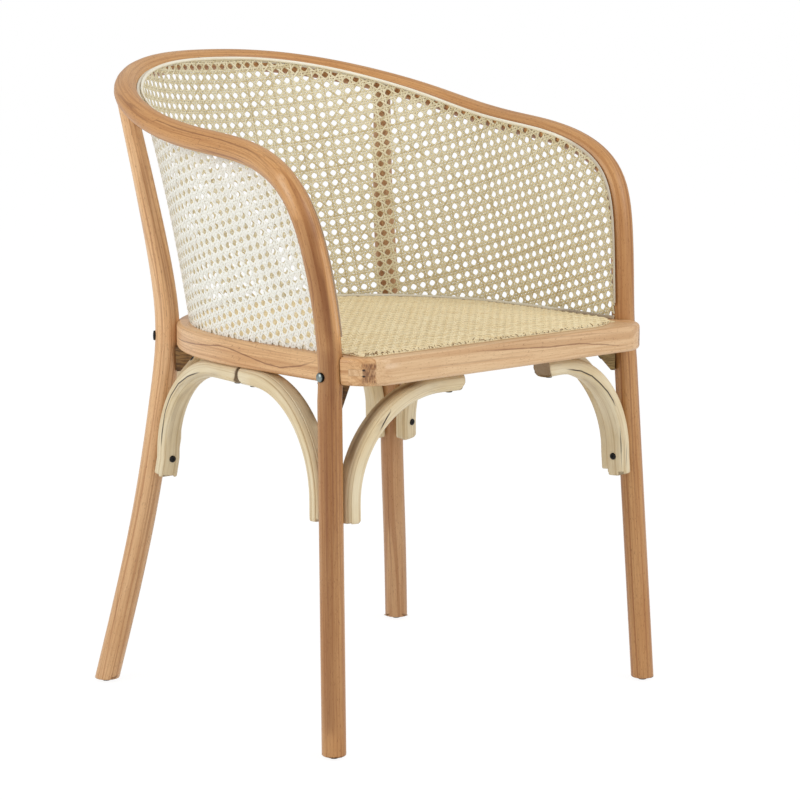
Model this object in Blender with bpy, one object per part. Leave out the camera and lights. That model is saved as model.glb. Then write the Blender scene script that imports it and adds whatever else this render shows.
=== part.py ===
"""Bentwood armchair with a cane back, a cane seat and rattan corner braces.

Metres, +Z up, standing on z = 0. +X is the sitter's left when seen from the front, the seat opens
towards -Y, and the origin is on the floor under the middle of the chair.
"""
import bpy
import bmesh
import numpy as np
from math import atan2, copysign, cos, pi, radians, sin
from mathutils import Vector

# Overall sizes of the bent rod that makes the back, the arms and the front legs
HOOP_HEIGHT = 0.752
HOOP_HALF_WIDTH = 0.248
HOOP_DEPTH = 0.567
ROD_RADIUS = 0.0143

# Seat frame
SEAT_HEIGHT = 0.4495
FRAME_HEIGHT = 0.0312
FRAME_SIDE_SETBACK = 0.013
FRAME_BACK_SETBACK = 0.091
FRAME_CORNER_RADIUS = 0.0460
BOW_WIDTH = 0.033
FRONT_RAIL_WIDTH = 0.044
FRAME_EDGE_RADIUS = 0.0050
INNER_CORNER_RADIUS = 0.012
LEDGE_WIDTH = 0.008
BOARD_THICKNESS = 0.012
BRIDLE_DEPTH = 0.028
BRIDLE_WIDTH = 0.0245
BRIDLE_SLOT_HEIGHT = 0.0072

# Cane, thickness and standing
CANE_THICKNESS = 0.0016
WALL_INSET = 0.0095
WALL_BACK_INSET = 0.0075
WALL_CORNER_EASE = 0.0030
WALL_SADDLE = 0.0035
SEAT_CANE_EDGE = 0.0018
SEAT_CROWN = 0.0032
SEAT_FRONT_MARGIN = 0.0165
SEAT_CANE_MARGIN = 0.0012
TRIM_WIDTH = 0.0042
TRIM_THICKNESS = 0.0024

# Legs
FRONT_LEG_BEND_DROP = 0.0495
REAR_TAPER_DROP = 0.0095
REAR_LEG_RADIUS = 0.0148
REAR_LEG_TOP_RADIUS = 0.0106
FOOT_CHAMFER = 0.0015

# Rattan corner braces
BRACE_THICKNESS = 0.0205
BRACE_WIDTH = 0.0265
BRACE_DROP = 0.1865
BRACE_STRAIGHT = 0.021
BACK_BRACE_STRAIGHT = 0.039
FRONT_BRACE_RUN = 0.0283
SIDE_FRONT_BRACE_RUN = 0.0274
SIDE_REAR_BRACE_RUN = 0.0538
BACK_BRACE_RUN = 0.0253
FRONT_BRACE_END = 0.0665
SIDE_BRACE_MEETING_OFFSET = 0.0175
SIDE_BRACE_GAP = 0.005
BACK_BRACE_END = 0.040
BRACE_LEG_SHIFT = 0.0045
REAR_BRACE_LEG_SHIFT = 0.0032
FRONT_BRACE_DEPTH = 0.0255

# Corner blocks
BLOCK_REACH = 0.0278
BLOCK_TOE_REACH = 0.0025
BLOCK_DROP = 0.0305
BLOCK_HALF_WIDTH = 0.0185
BLOCK_TOE_HALF_WIDTH = 0.0085
BLOCK_START_SHARE = 0.85
FRONT_BLOCK_SHIFT = 0.0040

# Fasteners and glides
BOLT_HEAD_RADIUS = 0.0060
BOLT_HEAD_HEIGHT = 0.0032
BOLT_SHANK_RADIUS = 0.0030
FRONT_BOLT_LENGTH = 0.0355
REAR_BOLT_LENGTH = 0.0440
FRONT_BOLT_DROP = 0.0065
REAR_BOLT_DROP = 0.0040
REAR_BOLT_HEAD_HEIGHT = 0.0022
BLOCK_BOLT_LENGTH = 0.0175
SCREW_HEAD_RADIUS = 0.0042
SCREW_HEAD_HEIGHT = 0.0016
SCREW_SHANK_RADIUS = 0.0019
SCREW_LENGTH = 0.0300
LOWER_SCREW_HEIGHT = 0.0215
UPPER_SCREW_MARGIN = 0.0140
GLIDE_RADIUS = 0.0052
GLIDE_HEIGHT = 0.0030
NAIL_RADIUS = 0.0012
NAIL_LENGTH = 0.0120

# Clearances and cutter overruns
GAP = 0.0003
OVERRUN = 0.010
NOTCH_REACH = 0.042

# Where the rod's centreline runs, from the top of its straight leg to the middle of the back: shares of
# the half width, of the depth and of the height, which counts 1 at the seat and 2 at the top
ROD_SHARES = (
    (0.951, 0.0965, 1.0354),
    (0.983, 0.1168, 1.3412),
    (1.013, 0.1709, 1.5873),
    (0.996, 0.2963, 1.7091),
    (0.999, 0.4497, 1.7499),
    (1.000, 0.5884, 1.7899),
    (0.951, 0.7063, 1.8459),
    (0.842, 0.8060, 1.8981),
    (0.682, 0.8878, 1.9428),
    (0.481, 0.9494, 1.9761),
    (0.248, 0.9878, 1.9950),
    (0.000, 1.0000, 2.0000),
)
FRONT_FOOT_SHARES = (1.019, 0.0522)
# The rear leg's centreline from its foot up, in the same shares
REAR_LEG_SHARES = (
    (0.9750, 0.8316, 0.0000),
    (0.8882, 0.7954, 0.2670),
    (0.8102, 0.7665, 0.5339),
    (0.7547, 0.7431, 0.8009),
    (0.7283, 0.7381, 1.0017),
    (0.7488, 0.7646, 1.3322),
    (0.7976, 0.7937, 1.6628),
    (0.8385, 0.8136, 1.8982),
)
FRAME_POWER = 2.35
WALL_POWER = 2.15
BRACE_POWER = 3
DOME_TIP_SHARE = 0.5
DOME_SHARE = 0.83
GLIDE_SOLE_SHARE = 0.67
SEAT_CANE_SHARES = (1.0, 0.75, 0.4)
FRAME_TURN_SHARE = 0.4307
WALL_HOOP_TURN_SHARE = 0.53
WALL_FLARE_SHARE = 0.62

# Openings that stand for the cane's mesh: how many, and the shares of the wall round them
OPENING_COLUMNS = 12
OPENING_ROWS = 5
WALL_END_SHARE = 0.115
WALL_EDGE_SHARE = 0.07
COLUMN_BAR_SHARE = 0.42
ROW_BAR_SHARE = 0.46

# Facet counts
ROD_SIDES = 12
ROD_STEPS = 3
REAR_STEPS = 3
PIN_SIDES = 8
GLIDE_SIDES = 10
BRACE_SIDES = 12
BRACE_STEPS = 7
CORNER_STEPS = 7
SIDE_STEPS = 4
BACK_STEPS = 13
WALL_STEPS = 14
WALL_END_STEPS = 5
OPENING_STEPS = 3
BAR_STEPS = 2
NOTCH_STEPS = 12
SMOOTHING_ANGLE = radians(32)

CENTRE_DEPTH = (HOOP_DEPTH + ROD_RADIUS) / 2
FRAME_HALF_WIDTH = HOOP_HALF_WIDTH - FRAME_SIDE_SETBACK
FRAME_DEPTH = HOOP_DEPTH - FRAME_BACK_SETBACK
FRAME_STRAIGHT_DEPTH = FRAME_DEPTH * FRAME_TURN_SHARE
FRAME_BOTTOM = SEAT_HEIGHT - FRAME_HEIGHT
BRACE_FOOT_HEIGHT = SEAT_HEIGHT - BRACE_DROP
CHAIR_NAME = "armchair"
UP = Vector((0, 0, 1))
SIDES = (("left", 1), ("right", -1))

BEECH = ("beech", (0.60, 0.36, 0.19), 0.45, 0.0)
RATTAN = ("rattan", (0.78, 0.66, 0.44), 0.50, 0.0)
CANE = ("cane", (0.86, 0.78, 0.58), 0.55, 0.0)
BOARD = ("board", (0.70, 0.54, 0.34), 0.60, 0.0)
BLOCK = ("block", (0.45, 0.28, 0.14), 0.60, 0.0)
ZINC = ("zinc_plate", (0.55, 0.58, 0.56), 0.25, 1.0)
BLACK_STEEL = ("black_steel", (0.02, 0.02, 0.02), 0.40, 1.0)
GLIDE = ("glide", (0.25, 0.25, 0.25), 0.50, 0.0)


def clear_scene():
    for item in list(bpy.data.objects):
        bpy.data.objects.remove(item, do_unlink=True)


def add_chair_empty():
    empty = bpy.data.objects.new(CHAIR_NAME, None)
    bpy.context.scene.collection.objects.link(empty)


def material(recipe):
    name, colour, roughness, metallic = recipe
    found = bpy.data.materials.get(name)
    if found:
        return found
    made = bpy.data.materials.new(name)
    made.use_nodes = True
    shader = made.node_tree.nodes["Principled BSDF"]
    shader.inputs["Base Color"].default_value = (*colour, 1)
    shader.inputs["Roughness"].default_value = roughness
    shader.inputs["Metallic"].default_value = metallic
    return made


def place(half_spacing, depth, height):
    """A point from its distance to the middle plane, its depth behind the front face, and its height."""
    return Vector((half_spacing, depth - CENTRE_DEPTH, height))


def flip(point, side):
    return Vector((point.x * side, point.y, point.z))


def finish(name, bm, recipe):
    """Makes a shape into an object whose origin is at the middle of its vertices, under the chair's empty."""
    bmesh.ops.recalc_face_normals(bm, faces=bm.faces)
    middle = sum((vert.co for vert in bm.verts), Vector()) / len(bm.verts)
    bmesh.ops.translate(bm, verts=bm.verts, vec=-middle)
    mesh = bpy.data.meshes.new(name)
    bm.to_mesh(mesh)
    bm.free()
    mesh.shade_smooth()
    mesh.set_sharp_from_angle(angle=SMOOTHING_ANGLE)
    mesh.materials.append(material(recipe))
    made = bpy.data.objects.new(name, mesh)
    made.location = middle
    made.parent = bpy.data.objects[CHAIR_NAME]
    bpy.context.scene.collection.objects.link(made)
    return made


def loft(rings, ring_closed=True, path_closed=False):
    """Skin between rings of points. Open paths are capped, open rings make a closed band's strips."""
    bm = bmesh.new()
    rows = [[bm.verts.new(point) for point in ring] for ring in rings]
    count = len(rows[0])
    last = count if ring_closed else count - 1
    pairs = list(zip(rows, rows[1:]))
    if path_closed:
        pairs.append((rows[-1], rows[0]))
    for near, far in pairs:
        for k in range(last):
            after = (k + 1) % count
            bm.faces.new((near[k], near[after], far[after], far[k]))
    if not path_closed:
        bm.faces.new(list(reversed(rows[0])))
        bm.faces.new(rows[-1])
    return bm


def carve(target, cutter_bm):
    """Cuts a closed shape out of an object's mesh, exactly, and keeps the result as its mesh."""
    bmesh.ops.recalc_face_normals(cutter_bm, faces=cutter_bm.faces)
    mesh = bpy.data.meshes.new("cutter")
    cutter_bm.to_mesh(mesh)
    cutter_bm.free()
    cutter = bpy.data.objects.new("cutter", mesh)
    bpy.context.scene.collection.objects.link(cutter)
    modifier = target.modifiers.new("carve", "BOOLEAN")
    modifier.operation = "DIFFERENCE"
    modifier.solver = "EXACT"
    modifier.object = cutter
    bpy.context.view_layer.update()
    shaped = target.evaluated_get(bpy.context.evaluated_depsgraph_get())
    result = bpy.data.meshes.new_from_object(shaped)
    target.modifiers.clear()
    target.data = result
    bpy.data.objects.remove(cutter, do_unlink=True)


def spline(stations, steps):
    """A smooth curve through stations, with the second derivative continuous and free ends."""
    points = np.array([list(station) for station in stations])
    count = len(points)
    matrix = np.zeros((count, count))
    target = np.zeros_like(points)
    for i in range(count):
        before, after = max(i - 1, 0), min(i + 1, count - 1)
        inner = before < i < after
        matrix[i, i] = 4 if inner else 2
        if before < i:
            matrix[i, before] = 1
        if after > i:
            matrix[i, after] = 1
        target[i] = 3 * (points[after] - points[before])
    slopes = np.linalg.solve(matrix, target)
    curve = []
    for i in range(count - 1):
        for k in range(steps):
            t = k / steps
            h00 = 2 * t**3 - 3 * t**2 + 1
            h10 = t**3 - 2 * t**2 + t
            h01 = 3 * t**2 - 2 * t**3
            h11 = t**3 - t**2
            placed = h00 * points[i] + h01 * points[i + 1]
            curve.append(Vector(placed + h10 * slopes[i] + h11 * slopes[i + 1]))
    curve.append(Vector(points[-1]))
    return curve


def tangents(points):
    last = len(points) - 1
    return [(points[min(i + 1, last)] - points[max(i - 1, 0)]).normalized() for i in range(last + 1)]


def round_section(sides, radius):
    return [(radius * cos(2 * pi * k / sides), radius * sin(2 * pi * k / sides)) for k in range(sides)]


def sweep_rings(points, sections, start_side):
    """Rings of a section carried along a path without twist, from a first sideways direction."""
    rings = []
    side = start_side
    for point, forward, section in zip(points, tangents(points), sections):
        side = (side - forward * side.dot(forward)).normalized()
        across = forward.cross(side)
        rings.append([point + side * a + across * b for a, b in section])
    return rings


def level_ring(ring, direction, height):
    """Slides a ring's points along a direction until they all lie at one height."""
    return [point + direction * ((height - point.z) / direction.z) for point in ring]


def pin(start, direction, length, radius, sides=PIN_SIDES):
    direction = direction.normalized()
    side = direction.orthogonal()
    section = round_section(sides, radius)
    return loft(sweep_rings([start, start + direction * length], [section, section], side))


def front_foot():
    width_share, depth_share = FRONT_FOOT_SHARES
    return place(HOOP_HALF_WIDTH * width_share, HOOP_DEPTH * depth_share, 0)


def level(share):
    """A height from its share: 0 is the floor, 1 the seat and 2 the top of the bent rod's centreline."""
    if share <= 1:
        return SEAT_HEIGHT * share
    return SEAT_HEIGHT + (HOOP_HEIGHT - SEAT_HEIGHT) * (share - 1)


def rod_station(shares):
    width_share, depth_share, height_share = shares
    return place(HOOP_HALF_WIDTH * width_share, HOOP_DEPTH * depth_share, level(height_share))


def front_leg_at(height):
    """Centreline of the rod's straight leg on the +X side."""
    foot = front_foot()
    seat = rod_station(ROD_SHARES[0])
    return foot.lerp(seat, height / seat.z)


def half_rod():
    """Centreline from the middle of the back, round one arm, to the top of the straight leg."""
    stations = [rod_station(shares) for shares in reversed(ROD_SHARES)]
    leg_top = front_leg_at(SEAT_HEIGHT - FRONT_LEG_BEND_DROP)
    mirrored = [flip(station, -1) for station in reversed(stations[1:])]
    whole = [flip(leg_top, -1)] + mirrored + stations + [leg_top]
    curve = spline(whole, ROD_STEPS)
    return curve[len(curve) // 2:]


def rear_leg_path():
    """Centreline of the rear leg on the +X side, from the floor to the rod."""
    return spline([rod_station(shares) for shares in REAR_LEG_SHARES], REAR_STEPS)


def rear_leg_at(height):
    path = rear_leg_path()
    for low, high in zip(path, path[1:]):
        if height <= high.z:
            break
    return low.lerp(high, (height - low.z) / (high.z - low.z))


def rear_leg_radius(height):
    taper = SEAT_HEIGHT - REAR_TAPER_DROP
    if height <= taper:
        return REAR_LEG_RADIUS
    share = (height - taper) / (level(REAR_LEG_SHARES[-1][2]) - taper)
    return REAR_LEG_RADIUS + (REAR_LEG_TOP_RADIUS - REAR_LEG_RADIUS) * share


def back_curve(half_width, reach, steps, power=FRAME_POWER):
    """Round end of the seat's plan, from its side at +X to the middle of the back."""
    points = []
    for k in range(steps + 1):
        angle = pi / 2 * k / steps
        across = max(cos(angle), 0.0) ** (2 / power)
        along = sin(angle) ** (2 / power)
        points.append((half_width * across, FRAME_STRAIGHT_DEPTH + reach * along))
    return points


def frame_half_outline(inset, front_inset, corner_radius):
    """Half of the seat's plan on the +X side, from the middle of the front to the middle of the back."""
    half_width = FRAME_HALF_WIDTH - inset
    centre_x = half_width - corner_radius
    centre_depth = front_inset + corner_radius
    points = [(0.0, front_inset), (centre_x / 2, front_inset)]
    for k in range(CORNER_STEPS + 1):
        angle = pi / 2 * k / CORNER_STEPS
        points.append((centre_x + corner_radius * sin(angle), centre_depth - corner_radius * cos(angle)))
    for k in range(1, SIDE_STEPS):
        points.append((half_width, centre_depth + (FRAME_STRAIGHT_DEPTH - centre_depth) * k / SIDE_STEPS))
    return points + back_curve(half_width, FRAME_DEPTH - FRAME_STRAIGHT_DEPTH - inset, BACK_STEPS)


def outline_ring(half, height):
    """A closed ring at one height from a half outline whose ends lie on the middle plane."""
    right = [place(x, depth, height) for x, depth in half]
    left = [flip(point, -1) for point in reversed(right[1:-1])]
    return right + left


def outer_ring(inset, height):
    return outline_ring(frame_half_outline(inset, inset, FRAME_CORNER_RADIUS - inset), height)


def inner_ring(extra, height):
    half = frame_half_outline(BOW_WIDTH - extra, FRONT_RAIL_WIDTH - extra, INNER_CORNER_RADIUS)
    return outline_ring(half, height)


def seat_ring_blank(name):
    """The whole seat frame as one ring, rounded outside, with a ledge for the board inside."""
    top, bottom, edge = SEAT_HEIGHT, FRAME_BOTTOM, FRAME_EDGE_RADIUS
    ease = edge * (1 - cos(pi / 4))
    ledge = top - BOARD_THICKNESS - GAP
    rings = [
        inner_ring(0, bottom),
        outer_ring(edge, bottom),
        outer_ring(ease, bottom + ease),
        outer_ring(0, bottom + edge),
        outer_ring(0, top - edge),
        outer_ring(ease, top - ease),
        outer_ring(edge, top),
        inner_ring(LEDGE_WIDTH, top),
        inner_ring(LEDGE_WIDTH, ledge),
        inner_ring(0, ledge),
    ]
    return finish(name, loft(rings, path_closed=True), BEECH)


def box(low, high):
    bm = bmesh.new()
    bmesh.ops.create_cube(bm, size=1)
    size = high - low
    for vert in bm.verts:
        vert.co = Vector(low[i] + (vert.co[i] + 1 / 2) * size[i] for i in range(3))
    return bm


def split_frame():
    """The bent bow and the front rail, with a bridle joint in each front corner."""
    bow = seat_ring_blank("seat_bow")
    rail = seat_ring_blank("seat_front_rail")
    reach = FRAME_HALF_WIDTH + OVERRUN
    front = -CENTRE_DEPTH - OVERRUN
    back = FRAME_DEPTH - CENTRE_DEPTH + OVERRUN
    joint = BRIDLE_DEPTH - CENTRE_DEPTH
    rail_end = FRAME_HALF_WIDTH - BRIDLE_WIDTH
    low, high = FRAME_BOTTOM - OVERRUN, SEAT_HEIGHT + OVERRUN
    middle = (SEAT_HEIGHT + FRAME_BOTTOM) / 2
    tongue_low = middle - BRIDLE_SLOT_HEIGHT / 2
    tongue_high = middle + BRIDLE_SLOT_HEIGHT / 2
    inner_back = FRONT_RAIL_WIDTH + INNER_CORNER_RADIUS - CENTRE_DEPTH
    carve(bow, box(Vector((-rail_end, front, low)), Vector((rail_end, inner_back, high))))
    carve(rail, box(Vector((-reach, inner_back - GAP, low)), Vector((reach, back, high))))
    for _, side in SIDES:
        edges = sorted((side * (rail_end - GAP), side * reach))
        slot = sorted((side * (rail_end - OVERRUN), side * reach))
        carve(bow, box(Vector((slot[0], front, tongue_low)), Vector((slot[1], joint, tongue_high))))
        behind = inner_back + OVERRUN
        carve(rail, box(Vector((edges[0], front, low)), Vector((edges[1], behind, tongue_low + GAP))))
        carve(rail, box(Vector((edges[0], front, tongue_high - GAP)), Vector((edges[1], behind, high))))
        carve(rail, box(Vector((edges[0], joint - GAP, low)), Vector((edges[1], behind, high))))
    return bow, rail


def leg_notch(path, radius, side):
    points = [flip(point, side) for point in path]
    section = round_section(ROD_SIDES, radius)
    return loft(sweep_rings(points, [section] * len(points), Vector((1, 0, 0))))


def make_rod():
    half = half_rod()
    leg_top = half[-1]
    low_height = GLIDE_HEIGHT + GAP
    legs = [leg_top.lerp(front_leg_at(low_height), k / 2) for k in (1, 2)]
    right = half + legs
    points = [flip(point, -1) for point in reversed(right[1:])] + right
    section = round_section(ROD_SIDES, ROD_RADIUS)
    rings = sweep_rings(points, [section] * len(points), Vector((1, 0, 0)))
    direction = (leg_top - front_foot()).normalized()
    for index, side in ((0, -1), (-1, 1)):
        rings[index] = level_ring(rings[index], flip(direction, side), low_height)
        centre = sum(rings[index], Vector()) / ROD_SIDES
        shrink = (ROD_RADIUS - FOOT_CHAMFER) / ROD_RADIUS
        above = [point + flip(direction, side) * (FOOT_CHAMFER / direction.z) for point in rings[index]]
        rings[index] = [centre + (point - centre) * shrink for point in rings[index]]
        if index == 0:
            rings.insert(1, above)
        else:
            rings.insert(len(rings) - 1, above)
    return finish("bent_rod", loft(rings), BEECH)


def make_rear_leg(name, side):
    low_height = GLIDE_HEIGHT + GAP
    heights = [low_height, low_height + FOOT_CHAMFER]
    heights += [point.z for point in rear_leg_path() if point.z > low_height + OVERRUN]
    points = [flip(rear_leg_at(height), side) for height in heights]
    sections = [round_section(ROD_SIDES, rear_leg_radius(height)) for height in heights]
    sections[0] = round_section(ROD_SIDES, REAR_LEG_RADIUS - FOOT_CHAMFER)
    rings = sweep_rings(points, sections, Vector((1, 0, 0)))
    direction = (points[2] - points[0]).normalized()
    rings[0] = level_ring(rings[0], direction, low_height)
    rings[1] = level_ring(rings[1], direction, low_height + FOOT_CHAMFER)
    return finish(name, loft(rings), BEECH)


def wall_base_half():
    """Foot of the cane wall on the frame's top, from the middle of the back to its straight side."""
    reach = FRAME_DEPTH - WALL_BACK_INSET - FRAME_STRAIGHT_DEPTH
    return list(reversed(back_curve(FRAME_HALF_WIDTH - WALL_INSET, reach, WALL_STEPS, WALL_POWER)))


def along_polyline(points, share):
    """The point at a share of a polyline's length."""
    lengths = [(b - a).length for a, b in zip(points, points[1:])]
    target = share * sum(lengths)
    for a, b, length in zip(points, points[1:], lengths):
        if target <= length:
            return a.lerp(b, target / length)
        target -= length
    return points[-1].copy()


def wall_rails():
    """Matching points along the wall's top, beside the rod, and along its foot on the frame.

    The third list says how far each place is into the bend between the back and a side, from 0 to 1.
    """
    half = half_rod()
    directions = tangents(half)
    turn_depth = HOOP_DEPTH * WALL_HOOP_TURN_SHARE - CENTRE_DEPTH
    base_height = SEAT_HEIGHT + GAP
    curved = [place(x, depth, base_height) for x, depth in wall_base_half()]
    leg = rod_station(ROD_SHARES[0])
    reach = ROD_RADIUS + GAP + CANE_THICKNESS / 2
    front_end = Vector((leg.x - reach - GAP, leg.y, base_height))
    turn = [point for point in half if point.y >= turn_depth]
    whole = sum((b - a).length for a, b in zip(turn, turn[1:]))
    top, foot, bends = [], [], []
    for i, point in enumerate(half):
        if point.z < SEAT_HEIGHT + ROD_RADIUS:
            break
        if i < len(turn):
            inward = Vector((directions[i].y, -directions[i].x, 0)).normalized()
            if inward.dot(Vector((-point.x, -CENTRE_DEPTH - point.y, 0))) < 0:
                inward = -inward
            share = sum((b - a).length for a, b in zip(turn[:i], turn[1:i + 1])) / whole
            below = along_polyline(curved, share)
            bend = sin(pi * share) ** 2
        else:
            inward = Vector((-1, 0, 0))
            share = (turn[-1].y - point.y) / (turn[-1].y - leg.y)
            ease = share ** (1 / WALL_FLARE_SHARE)
            depth = curved[-1].y + (front_end.y - curved[-1].y) * share
            below = Vector((curved[-1].x + (front_end.x - curved[-1].x) * ease, depth, base_height))
            bend = 0
        top.append(point + inward * (reach + WALL_CORNER_EASE * bend))
        foot.append(below)
        bends.append(bend)
    return top, foot, bends


def mirrored(points):
    return [flip(point, -1) for point in reversed(points[1:])] + points


def wall_normal(top, foot, i):
    """Level direction from the wall towards the sitter."""
    last = len(top) - 1
    before, after = max(i - 1, 0), min(i + 1, last)
    along = top[after] + foot[after] - top[before] - foot[before]
    across = along.cross(top[i] - foot[i])
    across.z = 0
    inside = Vector((-top[i].x, HOOP_DEPTH / 2 - CENTRE_DEPTH - top[i].y, 0))
    return across.normalized() if across.dot(inside) > 0 else -across.normalized()


def opening_stations(margin_share, count, bar_share, steps):
    """Stations from 0 to 1 across a row of openings, and for each interval whether it is in an opening.

    The steps are those of a margin, of an opening and of a bar between two openings.
    """
    margin_steps, opening_steps, bar_steps = steps
    pitch = (1 - 2 * margin_share) / (count - bar_share)
    spans = [(margin_share, margin_steps, False)]
    for column in range(count):
        if column:
            spans.append((pitch * bar_share, bar_steps, False))
        spans.append((pitch * (1 - bar_share), opening_steps, True))
    spans.append((margin_share, margin_steps, False))
    stations, opens = [0.0], []
    for width, span_steps, is_open in spans:
        start = stations[-1]
        stations += [start + width * k / span_steps for k in range(1, span_steps + 1)]
        opens += [is_open] * span_steps
    return stations, opens


def along_wall(top, foot, bends, shares):
    """The wall's top, foot and bends at shares of its top's length."""
    lengths = [0.0]
    for a, b in zip(top, top[1:]):
        lengths.append(lengths[-1] + (b - a).length)
    last = len(lengths) - 1
    tops, feet, turns = [], [], []
    for share in shares:
        target = share * lengths[-1]
        i = min(1 + sum(length < target for length in lengths[1:]), last)
        part = (target - lengths[i - 1]) / (lengths[i] - lengths[i - 1])
        tops.append(top[i - 1].lerp(top[i], part))
        feet.append(foot[i - 1].lerp(foot[i], part))
        turns.append(bends[i - 1] + (bends[i] - bends[i - 1]) * part)
    return tops, feet, turns


def openwork(near_points, far_points, open_columns, open_rows):
    """A sheet between two grids of points, open wherever an open column meets an open row."""
    bm = bmesh.new()
    near = [[bm.verts.new(point) for point in line] for line in near_points]
    far = [[bm.verts.new(point) for point in line] for line in far_points]

    def is_solid(i, k):
        inside = 0 <= i < len(open_columns) and 0 <= k < len(open_rows)
        return inside and not (open_columns[i] and open_rows[k])

    for i in range(len(open_columns)):
        for k in range(len(open_rows)):
            if not is_solid(i, k):
                continue
            corners = ((i, k), (i + 1, k), (i + 1, k + 1), (i, k + 1))
            bm.faces.new([near[a][b] for a, b in corners])
            bm.faces.new([far[a][b] for a, b in reversed(corners)])
            for j, beside in enumerate(((i, k - 1), (i + 1, k), (i, k + 1), (i - 1, k))):
                if not is_solid(*beside):
                    (a, b), (c, d) = corners[j], corners[(j + 1) % len(corners)]
                    bm.faces.new((near[a][b], far[a][b], far[c][d], near[c][d]))
    return bm


def make_wall():
    top_half, foot_half, bends_half = wall_rails()
    bends = list(reversed(bends_half[1:])) + bends_half
    columns, open_columns = opening_stations(WALL_END_SHARE, OPENING_COLUMNS, COLUMN_BAR_SHARE,
                                             (WALL_END_STEPS, OPENING_STEPS, BAR_STEPS))
    rows, open_rows = opening_stations(WALL_EDGE_SHARE, OPENING_ROWS, ROW_BAR_SHARE, (1, 1, 1))
    top, foot, bends = along_wall(mirrored(top_half), mirrored(foot_half), bends, columns)
    half = CANE_THICKNESS / 2
    near, far = [], []
    for i, bend in enumerate(bends):
        normal = wall_normal(top, foot, i)
        line = []
        for share in rows:
            hollow = WALL_SADDLE * bend * sin(pi * share)
            line.append(foot[i].lerp(top[i], share) + normal * hollow)
        near.append([point + normal * half for point in line])
        far.append([point - normal * half for point in line])
    return finish("back_cane", openwork(near, far, open_columns, open_rows), CANE), top, foot


def rectangle(width, thickness):
    return [(-thickness / 2, -width / 2), (thickness / 2, -width / 2),
            (thickness / 2, width / 2), (-thickness / 2, width / 2)]


def make_top_trim(top, foot):
    """Bead over the cane's upper edge, on the sitter's side."""
    shift = CANE_THICKNESS / 2 + GAP + TRIM_THICKNESS / 2
    rings = []
    for i, along in enumerate(tangents(top)):
        rise = (top[i] - foot[i]).normalized()
        normal = wall_normal(top, foot, i)
        normal = (normal - rise * normal.dot(rise)).normalized()
        across = normal.cross(along).normalized()
        side = along.cross(across)
        middle = top[i] + side * shift + across * (TRIM_WIDTH / 2)
        rings.append([middle + side * a + across * b for a, b in rectangle(TRIM_WIDTH, TRIM_THICKNESS)])
    return finish("cane_trim_top", loft(rings), RATTAN)


def make_foot_trim(foot):
    """Bead along the foot of the cane wall, lying on the frame."""
    shift = CANE_THICKNESS / 2 + GAP + TRIM_THICKNESS / 2
    lift = Vector((0, 0, TRIM_WIDTH / 2))
    forward = tangents(foot)
    rings = []
    for point, along in zip(foot, forward):
        side = Vector((along.y, -along.x, 0)).normalized()
        if side.dot(Vector((-point.x, FRAME_STRAIGHT_DEPTH - CENTRE_DEPTH - point.y, 0))) < 0:
            side = -side
        middle = point + side * shift + lift
        rings.append([middle + side * a + UP * b for a, b in rectangle(TRIM_WIDTH, TRIM_THICKNESS)])
    return finish("cane_trim_foot", loft(rings), RATTAN)


def make_board():
    half = frame_half_outline(BOW_WIDTH - LEDGE_WIDTH + GAP, FRONT_RAIL_WIDTH - LEDGE_WIDTH + GAP,
                              INNER_CORNER_RADIUS)
    rings = [outline_ring(half, SEAT_HEIGHT - BOARD_THICKNESS), outline_ring(half, SEAT_HEIGHT)]
    return finish("seat_board", loft(rings), BOARD)


def make_seat_cane():
    """Cane sheet pressed over the board, crowned in the middle and thin at its edges."""
    shift = CANE_THICKNESS / 2 + TRIM_THICKNESS + SEAT_CANE_MARGIN
    inside = WALL_INSET + shift
    base = SEAT_HEIGHT + GAP
    front_width = rod_station(ROD_SHARES[0]).x - ROD_RADIUS - shift - TRIM_THICKNESS
    flare = FRAME_HALF_WIDTH - inside - front_width
    front = frame_half_outline(inside, SEAT_FRONT_MARGIN, INNER_CORNER_RADIUS)[:-BACK_STEPS - 1]
    reach = FRAME_DEPTH - WALL_BACK_INSET - shift - FRAME_STRAIGHT_DEPTH
    half = front + back_curve(FRAME_HALF_WIDTH - inside, reach, BACK_STEPS, WALL_POWER)
    fitted = []
    for x, depth in half:
        flared = front_width + flare * min(depth / FRAME_STRAIGHT_DEPTH, 1)
        fitted.append((min(x, flared), depth))
    centre = FRAME_DEPTH / 2
    rings = [outline_ring(fitted, base)]
    for share in SEAT_CANE_SHARES:
        rise = SEAT_CANE_EDGE + SEAT_CROWN * (1 - share**2)
        scaled = [(x * share, centre + (depth - centre) * share) for x, depth in fitted]
        rings.append(outline_ring(scaled, base + rise))
    return finish("seat_cane", loft(rings), CANE)


def squared_off(value):
    return copysign(abs(value) ** (2 / BRACE_POWER), value)


def brace_section():
    """Section of a rattan brace: a rectangle with well rounded corners."""
    section = []
    for k in range(BRACE_SIDES):
        angle = 2 * pi * (k + 1 / 2) / BRACE_SIDES
        section.append((BRACE_THICKNESS / 2 * squared_off(cos(angle)),
                        BRACE_WIDTH / 2 * squared_off(sin(angle))))
    return section


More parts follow.
